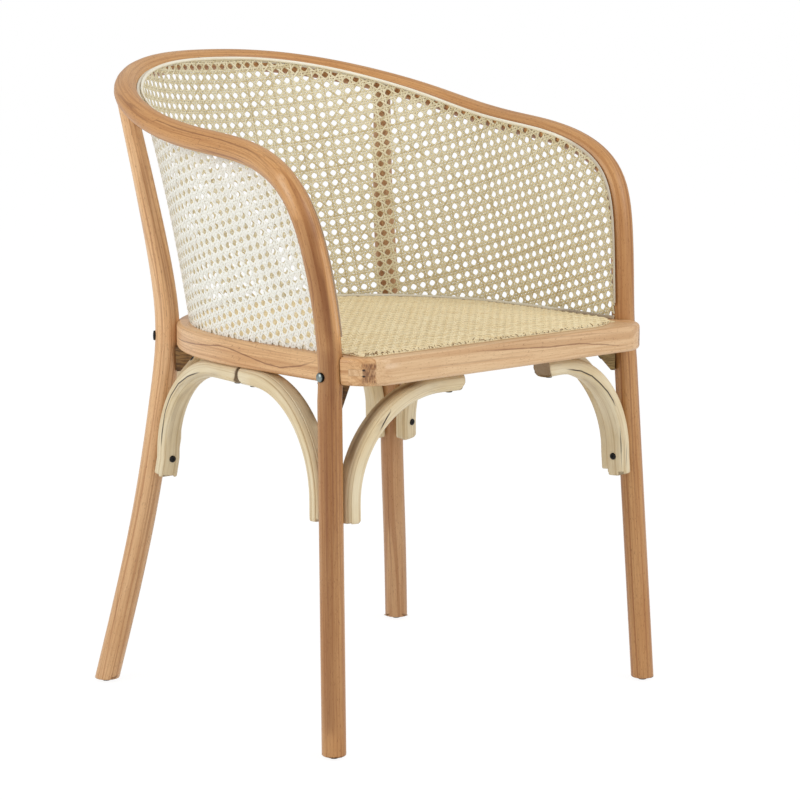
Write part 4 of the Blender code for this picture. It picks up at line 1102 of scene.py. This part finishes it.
def wall_rails():
    """Matching points along the wall's top, beside the rod, and along its foot on the frame."""
    half = half_rod()
    ahead = headings(half)
    curved = wall_base_half()
    last = curved[-1]
    leg = vec(*ROD_LINE[0])
    reach = ROD_RADIUS + HAIR + CANE_HALF
    front_end = vec(leg[0] - reach - HAIR, leg[1], last[2])
    turn = half[half[:, 1] >= WALL_TURN_DEPTH - MIDDLE_DEPTH]
    lengths = run_lengths(turn)
    top, foot, bends = [], [], []
    for i, point in enumerate(half):
        if point[2] < SEAT_HEIGHT + ROD_RADIUS:
            break
        if i < len(turn):
            inward = unit(vec(ahead[i][1], -ahead[i][0], 0))
            if inward.dot(vec(-point[0], -MIDDLE_DEPTH - point[1], 0)) < 0:
                inward = -inward
            share = lengths[i] / lengths[-1]
            foot.append(point_along(curved, share))
            bend = sin(pi * share) ** 2
        else:
            inward = vec(-1, 0, 0)
            share = (turn[-1][1] - point[1]) / (turn[-1][1] - leg[1])
            swept = max(share, 0) ** (1 / WALL_SWEEP)
            foot.append(last + (front_end - last) * vec(swept, share, 0))
            bend = 0
        top.append(point + inward * (reach + WALL_SWELL * bend))
        bends.append(bend)
    return np.array(top), np.array(foot), np.array(bends)


def level_normals(top, foot):
    """Level directions from the wall towards the sitter."""
    normals = []
    last = len(top) - 1
    for i in range(last + 1):
        before, after = max(i - 1, 0), min(i + 1, last)
        along = top[after] + foot[after] - top[before] - foot[before]
        across = np.cross(along, top[i] - foot[i])
        across[2] = 0
        inside = vec(-top[i][0], WALL_MIDDLE_DEPTH - MIDDLE_DEPTH - top[i][1], 0)
        normals.append(unit(across) if across.dot(inside) > 0 else -unit(across))
    return np.array(normals)


def both_sides(half):
    """A row of points from the middle outwards, with its mirror image before it."""
    mirror = np.ones(np.shape(half)[1])
    mirror[0] = -1
    return np.concatenate([half[:0:-1] * mirror, half])


def third_corner(a, b, a3, b3, c3):
    """The flat place of a corner from two placed ones and the real distances."""
    base = np.linalg.norm(b - a)
    to_a, to_b = np.linalg.norm(c3 - a3), np.linalg.norm(c3 - b3)
    along = (base**2 + to_a**2 - to_b**2) / (2 * base)
    aside = sqrt(max(to_a**2 - along**2, 0))
    u = (b - a) / base
    return a + u * along + vec(u[1], -u[0]) * aside


class CaneWall:
    """The bent wall and its flat pattern, and where a point of the flat sheet lies on the wall."""

    side_shade = 0.34

    def __init__(self):
        top, foot, bends = wall_rails()
        self.top, self.foot = both_sides(top), both_sides(foot)
        self.bends = np.concatenate([bends[:0:-1], bends])
        self.normals = level_normals(self.top, self.foot)
        flat_top, flat_foot = [vec(0, np.linalg.norm(top[0] - foot[0]))], [vec(0, 0)]
        for i in range(len(top) - 1):
            corner = third_corner(flat_foot[-1], flat_top[-1], foot[i], top[i], foot[i + 1])
            flat_top.append(third_corner(corner, flat_top[-1], foot[i + 1], top[i], top[i + 1]))
            flat_foot.append(corner)
        self.flat_foot, self.flat_top = both_sides(np.array(flat_foot)), both_sides(np.array(flat_top))
        self.corners = np.concatenate([self.flat_foot, self.flat_top])

    def carry(self, points):
        """Places and normals for points of the flat sheet, and which of them are on it."""
        ray = self.flat_top - self.flat_foot
        rel = points[:, None] - self.flat_foot[None]
        side = ray[None, :, 0] * rel[:, :, 1] - ray[None, :, 1] * rel[:, :, 0]
        away = side / np.linalg.norm(ray, axis=1)[None]
        index = np.clip((away < 0).sum(axis=1) - 1, 0, len(ray) - 2)
        rows = np.arange(len(points))
        left, right = -away[rows, index], away[rows, index + 1]
        s = left / (left + right)

        def between(stations):
            share = s[:, None] if stations.ndim > 1 else s
            return stations[index] + (stations[index + 1] - stations[index]) * share

        low, foot, top = between(self.flat_foot), between(self.foot), between(self.top)
        span = between(self.flat_top) - low
        t = ((points - low) * span).sum(1) / (span**2).sum(1)
        normal = between(self.normals)
        saddle = WALL_SADDLE * between(self.bends) * np.sin(pi * np.clip(t, 0, 1))
        places = foot + (top - foot) * t[:, None] + normal * saddle[:, None]
        length = np.sqrt((span**2).sum(1))
        inside = (t * length > -WALL_FOOT_TUCK) & ((t - 1) * length < WALL_TOP_TUCK)
        inside &= (s > -0.02) & (s < 1.02)
        return places, square_to(normal, units(top - foot)), inside

    def darkened(self, point):
        return 0.0


class CaneSeat:
    """The crowned seat, as a sheet that the same weave is laid on."""

    side_shade = 0.10

    def __init__(self):
        shift = CANE_HALF + BEAD_THICKNESS + SEAT_GAP
        inside = WALL_SIDE_INSET + shift
        front_width = ROD_LINE[0][0] - ROD_RADIUS - shift - BEAD_THICKNESS
        flare = FRAME_HALF_WIDTH - inside - front_width
        halves = []
        for corner in SEAT_CORNERS:
            half = frame_half(inside, SEAT_FRONT_INSET, corner, WALL_BACK_INSET + shift, WALL_POWER)
            fitted = [(min(x, front_width + flare * min(d / FRAME_STRAIGHT_DEPTH, 1)), d) for x, d in half]
            halves.append(closed_ring(fitted, SEAT_HEIGHT + HAIR))
        self.ring = np.where(halves[0][:, :1] < 0, halves[0], halves[1])
        self.corners = self.ring[:, :2]
        self.front = self.ring[:, 1].min()
        self.middle = vec(0, FRAME_DEPTH / 2 - MIDDLE_DEPTH)
        rel = self.corners - self.middle
        angles = np.arctan2(rel[:, 1], rel[:, 0])
        order = angles.argsort()
        self.angles, self.radii = angles[order], np.linalg.norm(rel, axis=1)[order]

    def share(self, points):
        """How far out points lie: 0 in the middle, 1 at the edge."""
        rel = points - self.middle
        edge = np.interp(np.arctan2(rel[:, 1], rel[:, 0]), self.angles, self.radii, period=2 * pi)
        return np.linalg.norm(rel, axis=1) / edge

    def height(self, share):
        return SEAT_HEIGHT + HAIR + SEAT_EDGE_LIFT + SEAT_CROWN * (1 - np.minimum(share, 1) ** 2)

    def carry(self, points):
        share = self.share(points)
        heights = self.height(share) - STRAND_SINK
        normal = np.repeat(vec(0, 0, 1)[None], len(points), axis=0)
        return np.concatenate([points, heights[:, None]], axis=1), normal, share < SEAT_REACH_SHARE

    def darkened(self, point):
        """Strands that end at the front edge are frayed there and have turned brown."""
        return 0.85 if point[1] < self.front + FRAYED_DEPTH else 0.25


def weave_lines(low, high):
    """Strands of the six-way weave over a flat rectangle.

    Paired uprights and paired rows stand round each open hole, and single diagonals cut its corners.
    """
    lines = {"uprights": [], "rows": [], "rising": [], "falling": []}
    first = np.floor(low / PITCH).astype(int) - 1
    last = np.ceil(high / PITCH).astype(int) + 1
    stations = np.array([0.0, 0.5 - WEAVE_SPREAD, 0.5 + WEAVE_SPREAD])
    lifts = vec(0, 1, -1) * STRAND_LIFT * FLAT_LIFT_SHARE
    for name, own, other, side in (("uprights", 0, 1, 1), ("rows", 1, 0, -1)):
        along = np.concatenate([(j + stations) * PITCH for j in range(first[other], last[other])])
        lift = np.tile(lifts, last[other] - first[other]) * side
        for k in range(first[own], last[own]):
            for hand in (-1, 1):
                points = np.full((len(along), 2), (k + 0.5 + hand * WEAVE_SPREAD) * PITCH)
                points[:, other] = along
                lines[name].append((points, lift * hand, vec(1 - own, own)))
    steps = np.arange(first[0] * 4, last[0] * 4 + 1) / 4
    wave = np.cos(2 * pi * steps) * STRAND_LIFT
    reach = last[0] - first[0] + last[1] - first[1]
    for k in range(-reach, reach):
        for name, slope in (("rising", 1), ("falling", -1)):
            points = np.stack([steps, slope * steps + k + 0.5], 1) * PITCH
            keep = (points[:, 1] > low[1] - PITCH) & (points[:, 1] < high[1] + PITCH)
            if keep.sum() > 2:
                lines[name].append((points[keep], slope * wave[keep], vec(1, -slope) / sqrt(2)))
    return lines


def stretches(inside):
    """First and last places of each stretch of a strand that lies on its sheet."""
    steps = np.diff(np.concatenate([[0], inside.astype(int), [0]]))
    return zip(np.flatnonzero(steps > 0), np.flatnonzero(steps < 0) - 1)


def edge_point(sheet, inner, outer):
    """The last point on the sheet between one that is on it and one that isn't."""
    for _ in range(EDGE_HALVINGS):
        middle = (inner + outer) / 2
        if sheet.carry(middle[None])[2][0]:
            inner = middle
        else:
            outer = middle
    return inner


def to_edges(sheet, strand, start, end):
    """Points, heights and sideways shifts of one stretch, drawn out to the sheet's edge at both ends."""
    points, lift, _ = strand
    run = [values[start:end + 1] for values in strand]
    for inner, outer, before in ((start, start - 1, True), (end, end + 1, False)):
        if not 0 <= outer < len(points):
            continue
        edge = edge_point(sheet, points[inner], points[outer])
        step, whole = np.linalg.norm(edge - points[inner]), np.linalg.norm(points[outer] - points[inner])
        if step > SHORTEST_STEP:
            added = (edge[None], [lift[inner] + (lift[outer] - lift[inner]) * step / whole], [0])
            run = [np.concatenate([new, old] if before else [old, new]) for new, old in zip(added, run)]
    return run


def strand_faces(count):
    """Faces round a strand of a count of rings, and two over each end."""
    around = len(STRAND_SECTION)
    ring = np.arange(around)
    start = np.arange(count - 1)[:, None] * around
    a, b = start + ring, start + (ring + 1) % around
    sides = np.stack([a, b, b + around, a + around], axis=2).reshape(-1, 4)
    return np.concatenate([sides, FIRST_CAP, LAST_CAP + (count - 1) * around])


def quad_mesh(name, points, faces):
    mesh = bpy.data.meshes.new(name)
    mesh.vertices.add(len(points))
    mesh.vertices.foreach_set("co", points.astype(np.float32).reshape(-1))
    mesh.loops.add(len(faces) * 4)
    mesh.loops.foreach_set("vertex_index", faces.astype(np.int32).reshape(-1))
    mesh.polygons.add(len(faces))
    mesh.polygons.foreach_set("loop_start", np.arange(len(faces), dtype=np.int32) * 4)
    mesh.update(calc_edges=True)
    mesh.validate()
    mesh.shade_smooth()
    mesh.set_sharp_from_angle(angle=radians(62))
    return mesh


def lay_strands(name, lines, sheet, width, thickness, finish, rng):
    """Rounded strands along the weave's lines, each cut off at the sheet's edge.

    The strand attribute holds a strand's own tone, how dark its ends are together with the painted shade
    along its sides, and which side faces down or out, which is painted paler as a painted highlight on the
    wall.
    """
    all_points, all_faces, grains, strands = [], [], [], []
    total = 0
    for number, (points, lift, across) in enumerate(lines):
        tone = rng.random()
        wobble = rng.normal(0, STRAND_WOBBLE, len(points))
        wide = width * (1 + rng.normal(0, STRAND_WIDTH_SPREAD))
        for start, end in stretches(sheet.carry(points)[2]):
            run, heights, shifts = to_edges(sheet, (points, lift, wobble), start, end)
            if len(run) < 2:
                continue
            run = run + across * shifts[:, None]
            centre, normal, _ = sheet.carry(run)
            left, right = [sheet.carry(run + across * half)[0] for half in (-wide / 2, wide / 2)]
            rings = [left * (0.5 - a) + right * (0.5 + a) + normal * (heights + b * thickness)[:, None]
                     for a, b in STRAND_SECTION]
            all_points.append(np.stack(rings, axis=1).reshape(-1, 3))
            all_faces.append(strand_faces(len(run)) + total)
            grain, tones = np.zeros((2, len(run), len(STRAND_SECTION), 3))
            grain[:, :, 0] = STRAND_SECTION[None, :, 0] * wide + number * 0.37
            grain[:, :, 1] = STRAND_SECTION[None, :, 1] * thickness
            grain[:, :, 2] = run_lengths(centre)[:, None] + number * 1.7
            tones[:, :, 0] = tone
            for place in (0, -1):
                tones[place, :, 1] = sheet.darkened(run[place]) * rng.random()
            # Painted highlight: the strand's back face, the outer face on the wall, is marked to be painted
            # paler.
            tones[:, :, 2] = STRAND_SECTION[None, :, 1] < 0
            # Painted shade along each strand's sides, by its sheet's side_shade.
            tones[:, SHOULDERS, 1] = np.maximum(tones[:, SHOULDERS, 1], sheet.side_shade)
            grains.append(grain.reshape(-1, 3))
            strands.append(tones.reshape(-1, 3))
            total += grain[:, :, 0].size
    piece = in_scene(name, quad_mesh(name, np.concatenate(all_points), np.concatenate(all_faces)))
    dress(piece, finish)
    set_vectors(piece, "grain", np.concatenate(grains))
    set_vectors(piece, "strand", np.concatenate(strands))
    return piece


def lay_weave(node, sheet, strand, finish, rng):
    """The weave over a sheet, as one piece for each direction of its strands."""
    lines = weave_lines(sheet.corners.min(axis=0), sheet.corners.max(axis=0))
    for kind, strands in lines.items():
        settle(lay_strands(node + "_" + kind, strands, sheet, *strand, finish, rng), node)


def make_wall():
    wall = CaneWall()
    lay_weave("back_cane", wall, WALL_STRAND, CANE_WALL, np.random.default_rng(11))
    return wall


def make_seat():
    seat = CaneSeat()
    rng = np.random.default_rng(5)
    lay_weave("seat_cane", seat, SEAT_STRAND, CANE_SEAT, rng)
    rings = [seat.ring]
    for share in UNDERLAY_SHARES:
        ring = seat.ring.copy()
        ring[:, :2] = seat.middle + (ring[:, :2] - seat.middle) * share
        ring[:, 2] = seat.height(share) - UNDERLAY_SINK
        rings.append(ring)
    faces = ring_faces(len(rings), len(seat.ring))
    under = add_object("seat_underlay", np.concatenate(rings), faces, SEAT_UNDER)
    round_off(under, 50)
    settle(under, "seat_cane")
    lay_fray(seat, rng)


def lay_fray(seat, rng):
    """Short dark split ends of strands, standing along the seat's front edge."""
    edge = seat.ring[seat.ring[:, 1] < seat.front + FRAY_EDGE_DEPTH]
    edge = edge[edge[:, 0].argsort()]
    start, reach = edge[0, 0], edge[-1, 0]
    points = []
    torn = np.arange(start, start + TORN_LENGTH, PITCH / 5)
    for x in np.concatenate([np.arange(start, reach, PITCH / 2), torn]):
        if rng.random() < FRAY_MISSING_SHARE:
            continue
        x += rng.normal(0, FRAY_SHIFT)
        length = FRAY_LENGTH + FRAY_LENGTH_SPREAD * rng.random()
        radius = FRAY_RADIUS + FRAY_RADIUS_SPREAD * rng.random()
        lean = rng.normal(0.5, 0.5) * length
        inset = FRAY_INSET * rng.random() ** 2
        height = SEAT_HEIGHT + FRAY_LIFT + FRAY_SLOPE * inset + FRAY_LIFT_SPREAD * rng.random()
        base = vec(x, np.interp(x, edge[:, 0], edge[:, 1]) + inset, height)
        tip = base + vec(lean, length * 0.8, FRAY_RISE + FRAY_RISE_SPREAD * rng.random())
        middle = (base + tip) / 2 + vec(0, 0, FRAY_BEND)
        for centre, share in zip((base, middle, tip), FRAY_SHARES):
            turns = np.arange(FRAY_SIDES) * 2 * pi / FRAY_SIDES
            points += [centre + vec(cos(a), 0, sin(a) * 0.6) * radius * share for a in turns]
    own_faces = ring_faces(len(FRAY_SHARES), FRAY_SIDES)
    firsts = range(0, len(points), len(FRAY_SHARES) * FRAY_SIDES)
    faces = [[first + i for i in face] for first in firsts for face in own_faces]
    piece = add_object("seat_cane_frayed_ends", points, faces, CANE_FRAY)
    round_off(piece, 50)
    set_vectors(piece, "grain", np.array(points) * vec(1, 1, 40))
    set_vectors(piece, "strand", np.zeros((len(points), 3)))
    settle(piece, "seat_cane")


def half_round(width, thickness, steps=8):
    """Section of a bead: flat at the back, rounded in front."""
    points = []
    for k in range(steps + 1):
        angle = pi * k / steps
        points.append((thickness * (sin(angle) ** 0.8) - thickness / 2, -width / 2 * cos(angle)))
    return np.array(points)


def bead(name, middles, outward, across, width, thickness, node, shade):
    """A bead along a line, thinner towards the front legs, darkened by its painted shade and darker towards
    the left one.
    """
    section = half_round(width, thickness)
    slim = 1 - BEAD_END_SLIMMING * ramp(middles[:, 1], *BEAD_END)
    middles = middles - outward * (thickness * (1 - slim) / 2)[:, None]
    rings = (middles[:, None] + outward[:, None] * section[None, :, :1] * slim[:, None, None]
             + across[:, None] * section[None, :, 1:])
    piece = add_object(name, rings.reshape(-1, 3), ring_faces(len(rings), len(section)), TRIM)
    round_off(piece, 50)
    grain = np.zeros(rings.shape)
    grain[:, :, :2] = section[None]
    grain[:, :, 2] = run_lengths(middles)[:, None]
    set_vectors(piece, "grain", grain)
    Marks(piece, lambda points: shade + 0.42 * ramp(points[:, 1], *BEAD_END) * (points[:, 0] > 0)).draw()
    settle(piece, node)


def make_beads(wall):
    """The bead along the wall's top, the one in its joint with the rod, and the one along its foot."""
    size = (BEAD_WIDTH, BEAD_THICKNESS)
    shift = CANE_HALF + HAIR + BEAD_THICKNESS / 2
    along = headings(wall.top)
    normal = square_to(wall.normals, units(wall.top - wall.foot))
    across = units(np.cross(normal, along))
    side = np.cross(along, across)
    # Each bead's last number is its painted shade: none on the top bead, some on the joint bead in the
    # crease with the rod, more on the foot bead in the crease with the seat.
    bead("cane_bead_top", wall.top + side * shift + across * (BEAD_WIDTH / 2), side, across, *size,
         "cane_trim_top", 0.0)
    bead("cane_bead_joint", wall.top - side * JOINT_BEAD_SINK + across * JOINT_BEAD_RISE, side, across,
         JOINT_BEAD_WIDTH, JOINT_BEAD_THICKNESS, "cane_trim_top", 0.10)
    up = np.repeat(vec(0, 0, 1)[None], len(along), axis=0)
    side = units(np.cross(headings(wall.foot), up))
    inside = vec(0, FRAME_STRAIGHT_DEPTH - MIDDLE_DEPTH, 0) - wall.foot
    side *= np.sign((side * inside).sum(1))[:, None]
    bead("cane_bead_foot", wall.foot + side * shift + up * (BEAD_WIDTH / 2), side, up, *size,
         "cane_trim_foot", 0.16)


def brace_outline():
    """Section of a brace, strip by strip: its points, and the strip that each belongs to."""
    stops = []
    for angle in range(0, 360, 10):
        if all(abs((angle - g + 180) % 360 - 180) > GROOVE_CLEAR_ANGLE for g in GROOVES):
            stops.append((angle, 0.0))
    for groove in GROOVES:
        stops.append((groove, GROOVE_DEPTH))
        stops += [(groove + side * GROOVE_HALF_ANGLE, 0.0) for side in (-1, 1)]
    points, strips = [], []
    for angle, depth in sorted(stops):
        turn = radians(angle)
        a = BRACE_THICKNESS / 2 * abs(cos(turn)) ** (2 / 3) * np.sign(cos(turn))
        b = BRACE_WIDTH / 2 * abs(sin(turn)) ** (2 / 3) * np.sign(sin(turn))
        middle = vec(a, b)
        points.append(middle * (1 - depth / np.linalg.norm(middle)))
        strips.append(sum(angle > g for g in GROOVES) % len(GROOVES))
    return np.array(points), np.array(strips)


def brace_path(leg_foot, leg_bend, leg_radius, rail_end):
    """A brace's middle line, up beside its leg and round a quarter turn to the frame, and its heading."""
    heading = unit((rail_end - leg_foot) * vec(1, 1, 0))
    stand = leg_radius + HAIR + BRACE_THICKNESS / 2
    low, bend = leg_foot + heading * stand, leg_bend + heading * stand
    end = vec(rail_end[0], rail_end[1], FRAME_BOTTOM - HAIR - BRACE_THICKNESS / 2)
    heading = unit((end - bend) * vec(1, 1, 0))
    radius = end[2] - bend[2]
    centre = bend + heading * radius
    turns = np.linspace(0, pi / 2, 25)
    arch = [centre - heading * radius * cos(a) + vec(0, 0, 1) * radius * sin(a) for a in turns]
    straight = [low + (bend - low) * k / 4 for k in range(4)]
    run = [arch[-1] + (end - arch[-1]) * k / 8 for k in range(1, 9)]
    return np.array(straight + arch + run), heading


def round_share(share):
    """How far the frame's round end still reaches at a share of its half width, or of its depth."""
    return (1 - share**FRAME_POWER) ** (1 / FRAME_POWER)


def under_bow_side(depth, side):
    share = max(depth - FRAME_STRAIGHT_DEPTH, 0) / (FRAME_DEPTH - FRAME_STRAIGHT_DEPTH)
    return vec(side * (FRAME_HALF_WIDTH * round_share(share) - BOW_WIDTH / 2), depth - MIDDLE_DEPTH, 0)


def under_bow_back(x):
    reach = (FRAME_DEPTH - FRAME_STRAIGHT_DEPTH) * round_share(abs(x) / FRAME_HALF_WIDTH)
    return vec(x, FRAME_STRAIGHT_DEPTH + reach - BOW_WIDTH / 2 - MIDDLE_DEPTH, 0)


def brace_plans():
    """Each brace's name, the leg's middle at its foot and at its bend, the leg's radius, and its end."""
    plans = []
    for name, side in SIDES:
        heights = (BRACE_FOOT_HEIGHT, BRACE_BEND_HEIGHT)
        front = np.array([flip(front_leg_at(h), side) for h in heights])
        rear = np.array([flip(rear_leg_at(h), side) for h in heights])
        back_bend = flip(rear_leg_at(BACK_BRACE_BEND_HEIGHT), side)
        inward = vec(-side * SIDE_BRACE_SHIFT, 0, 0)
        nudge = vec(-side * REAR_BRACE_SHIFT, -REAR_BRACE_SHIFT, 0)
        front_x, front_depth = FRONT_BRACE_END
        under_rail = vec(side * front_x, front_depth - MIDDLE_DEPTH, 0)
        side_end, rear_end = [under_bow_side(d, side) for d in (SIDE_BRACE_END_DEPTH, REAR_BRACE_END_DEPTH)]
        back_end = under_bow_back(side * BACK_BRACE_END_X)
        plans += [
            ("front_brace_" + name, *front, ROD_RADIUS, under_rail),
            ("side_brace_front_" + name, *(front + inward), ROD_RADIUS, side_end),
            ("side_brace_rear_" + name, *(rear + nudge), REAR_LEG_RADIUS, rear_end),
            ("back_brace_" + name, rear[0], back_bend, REAR_LEG_RADIUS, back_end),
        ]
    return plans


def slides(outline, strips, forward, rng):
    """How far each strip of a brace's outline is slid along it, at its low end and at its high end."""
    by_strip = rng.normal(0, STRIP_SLIDE_SPREAD, len(GROOVES))
    inner = outline[:, 0] / (BRACE_THICKNESS / 2)
    low = -LOW_END_DRAW_BACK - by_strip[strips]
    high = by_strip[::-1][strips] * 0.4 - np.clip(inner - 0.1, 0, 1) * HIGH_END_SLANT
    return low[:, None] * forward[0], high[:, None] * forward[-1]


def make_braces():
    outline, strips = brace_outline()
    rng = np.random.default_rng(3)
    for name, *plan in brace_plans():
        path, heading = brace_path(*plan)
        ends = [path[:1] + (path[1:2] - path[:1]) * 0.25, path[-1:] + (path[-2:-1] - path[-1:]) * 0.25]
        path = np.concatenate([path[:1], ends[0], path[1:-1], ends[1], path[-1:]])
        sections = np.repeat(outline[None], len(path), axis=0)
        sections[0] *= BRACE_END_SHARES[0]
        sections[-1] *= BRACE_END_SHARES[1]
        forward, sideways, across = guides(path, heading)
        rings = path[:, None] + sideways[:, None] * sections[:, :, :1] + across[:, None] * sections[:, :, 1:]
        low, high = slides(outline, strips, forward, rng)
        rings[:2] += low
        rings[-2:] += high
        faces = ring_faces(len(rings), len(outline))
        piece = add_object(name + "_finished", rings.reshape(-1, 3), faces, RATTAN)
        round_off(piece, 45)
        follow_grain(piece, path, heading, (rng.random(), rng.random(), rng.random() * 9))
        marks = Marks(piece)
        ring, last = np.arange(len(marks.points)) // len(outline), len(path) - 1
        marks.values[:, 2] = 0.72 * (ring == last) + 0.20 * (ring == 0) + 0.10 * (ring == last - 1)
        marks.draw(BRACE_LINES.get(name, ()), BRACE_STREAKS.get(name, ()))
        settle(piece, name)


def add_shank(piece, top, narrow, length):
    """Narrows the back of a head and draws its shank inwards."""
    shape(piece, at_height(top), bpy.ops.mesh.inset, thickness=narrow, depth=0)
    level = [f for f in piece.data.polygons if abs(f.center.z - top) < SAME_PLACE]
    inner = set(max(level, key=lambda f: len(f.vertices)).vertices)
    draw_out(piece, lambda points: np.array([i in inner for i in range(len(points))]), length)


def turned_fastener(name, finish, radius, low, high, ease, narrow, length, angle=30):
    """A round head about +Z, its eased face at the low height and its back at the high one, and a shank."""
    thickness = high - low
    piece = primitive(name, bpy.ops.mesh.primitive_cylinder_add, vertices=32, radius=radius, depth=thickness)
    for vertex in piece.data.vertices:
        vertex.co.z += (high + low) / 2
    dress(piece, finish)
    shape(piece, at_height(low), bpy.ops.mesh.bevel, offset=ease, segments=3)
    add_shank(piece, high, narrow, length)
    round_off(piece, angle)
    return piece


def model_screw():
    """Black screw: a low bevelled head with a cross recess, and its shank."""
    piece = turned_fastener("screw_pattern", BLACK, radius=0.0042, low=-0.0016, high=0.0004, ease=0.0011,
                            narrow=0.0023, length=0.0096)
    long, short, recess = 0.0022, 0.00045, -0.0004
    for x, y in ((long, short), (short, long)):
        cut_away(piece, box(vec(-x, -y, -OVERRUN), vec(x, y, recess)))
    round_off(piece, 30)
    return piece


def model_dome():
    """Zinc bolt: a low dome with a thin flange under it, its shank, and a painted shadow ring round the
    dome's edge.
    """
    radius, flatness, flange, painted_shadow_ring = 0.0056, 0.56, 0.0001, (0.0046, 0.0054)
    piece = primitive("dome_pattern", bpy.ops.mesh.primitive_uv_sphere_add, segments=40, ring_count=24,
                      radius=radius)
    for vertex in piece.data.vertices:
        vertex.co.z *= flatness
    shape(piece, everywhere, bpy.ops.mesh.bisect, plane_co=(0, 0, 0), plane_no=(0, 0, 1), use_fill=True,
          clear_outer=True)
    shape(piece, at_height(0.0), bpy.ops.mesh.inset, thickness=flange, depth=0)
    add_shank(piece, 0.0, 0.0026, 0.0100)
    dress(piece, ZINC)
    round_off(piece, 40)
    marks = Marks(piece)
    # Painted shadow ring round the dome's edge.
    marks.values[:, 2] = ramp(np.linalg.norm(marks.points[:, :2], axis=1), *painted_shadow_ring)
    marks.draw()
    return piece


def copy_to(pattern, name, seat, inward, node):
    """A copy of a pattern with a mesh of its own, its +Z turned inwards at its seat."""
    mesh = pattern.data.copy()
    turn = Vector(inward).to_track_quat("Z", "X").to_matrix().to_4x4()
    mesh.transform(Matrix.Translation(Vector(seat)) @ turn)
    piece = in_scene(name, mesh)
    settle(piece, node)


def make_fasteners():
    screw, dome = model_screw(), model_dome()
    bolt = turned_fastener("bolt_pattern", BLACK, radius=0.0060, low=-0.0022, high=0.0010, ease=0.0008,
                           narrow=0.0030, length=0.0090)
    glide = turned_fastener("glide_pattern", GLIDE, radius=0.0052, low=0.0, high=0.0030, ease=0.0009,
                            narrow=0.0040, length=0.0070, angle=35)
    up = vec(0, 0, 1)
    for name, foot, bend, radius, end in brace_plans():
        path, heading = brace_path(foot, bend, radius, end)
        along = unit(bend - foot)
        outward = unit(heading - along * heading.dot(along))
        low = path[0] + along * LOW_SCREW_RISE + outward * BRACE_THICKNESS / 2
        high = path[-1] - heading * HIGH_SCREW_INSET - up * BRACE_THICKNESS / 2
        copy_to(screw, name + "_screw_low", low, -outward, name + "_leg_screw")
        copy_to(screw, name + "_screw_high", high, up, name + "_rail_screw")
    for name, side in SIDES:
        seat = flip(front_leg_at(FRAME_MIDDLE - FRONT_BOLT_DROP), side)
        outward = vec(side, 0, 0)
        copy_to(dome, "front_bolt_" + name, seat + outward * ROD_FINISHED_RADIUS, -outward,
                "front_leg_bolt_" + name)
        seat = flip(rear_leg_at(FRAME_MIDDLE - REAR_BOLT_DROP), side)
        outward = unit(vec(side, 1, 0))
        copy_to(bolt, "rear_bolt_" + name, seat + outward * REAR_LEG_RADIUS, -outward,
                "rear_leg_bolt_" + name)
        for end, leg_at in (("front", front_leg_at), ("rear", rear_leg_at)):
            node = "glide_" + end + "_" + name
            copy_to(glide, node + "_finished", flip(leg_at(0), side) * vec(1, 1, 0), up, node)
    for pattern in (screw, dome, bolt, glide):
        bpy.data.objects.remove(pattern, do_unlink=True)


def finish_nodes():
    """Corner blocks, their bolts and the hidden board stay as they are, with their own finishes; the blocks'
    finishes are painted shade, and painted light on the front-left one.
    """
    for name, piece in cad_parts.items():
        for start, finish in (("corner_block", SHADED_BLOCK), ("corner_block_front_left", LIT_BLOCK),
                              ("block_bolt", BLACK), ("seat_board", SEAT_UNDER)):
            if name.startswith(start):
                for slot in piece.material_slots:
                    slot.material = finish


def make_studio():
    """A floor that the camera sees nearly white, and plain light that the camera sees as white."""
    white = (1, 1, 1, 1)
    floor = primitive("studio_floor", bpy.ops.mesh.primitive_plane_add, size=24)
    paper = Recipe("studio_paper")
    paper.surface(Base_Color=(0.86, 0.86, 0.86, 1), Roughness=0.9, Specular_IOR_Level=0.1)
    seen = paper.node("ShaderNodeLightPath").outputs
    glow = paper.node("ShaderNodeEmission", Color=white, Strength=FLOOR_GLOW).outputs[0]
    direct = paper.maths("MAXIMUM", seen["Is Camera Ray"], seen["Is Glossy Ray"])
    paper.put(paper.tree.nodes["Material Output"].inputs["Surface"],
              paper.mixed(paper.times(direct, FLOOR_GLOW_SHARE), paper.shader.outputs[0], glow))
    floor.data.materials.append(paper.made)
    world = bpy.data.worlds.new("studio_air")
    bpy.context.scene.world = world
    world.use_nodes = True
    air = Nodes(world.node_tree)
    plain = air.tree.nodes["Background"]
    air.put(plain.inputs["Color"], white)
    air.put(plain.inputs["Strength"], AIR_STRENGTH)
    bright = air.node("ShaderNodeBackground", Color=white, Strength=1.0)
    seen = air.node("ShaderNodeLightPath").outputs
    direct = air.maths("MAXIMUM", seen["Is Camera Ray"], seen["Is Transmission Ray"])
    air.put(air.tree.nodes["World Output"].inputs["Surface"],
            air.mixed(direct, plain.outputs[0], bright.outputs[0]))


def add_lamp(name, place, target, size, power):
    light = bpy.data.lights.new(name, "AREA")
    light.shape = "SQUARE"
    light.size = size
    light.energy = power
    lamp = in_scene(name, light)
    lamp.location = place
    lamp.rotation_euler = (Vector(target) - Vector(place)).to_track_quat("-Z", "Y").to_euler()


def make_camera():
    lens = bpy.data.cameras.new("studio_camera")
    lens.lens = CAMERA_LENS
    lens.sensor_width = CAMERA_SENSOR
    lens.sensor_fit = "HORIZONTAL"
    lens.clip_end = 60
    camera = in_scene("studio_camera", lens)
    camera.location = CAMERA_PLACE
    camera.rotation_euler = Vector(CAMERA_AHEAD).to_track_quat("-Z", "Y").to_euler()
    bpy.context.scene.camera = camera


make_rod()
for side_name, hand in SIDES:
    make_rear_leg(side_name, hand)
make_frame()
cane_wall = make_wall()
make_seat()
make_beads(cane_wall)
make_braces()
make_fasteners()
finish_nodes()
make_studio()
for lamp_values in LAMPS:
    add_lamp(*lamp_values)
bpy.context.scene.view_settings.view_transform = "Standard"
make_camera()
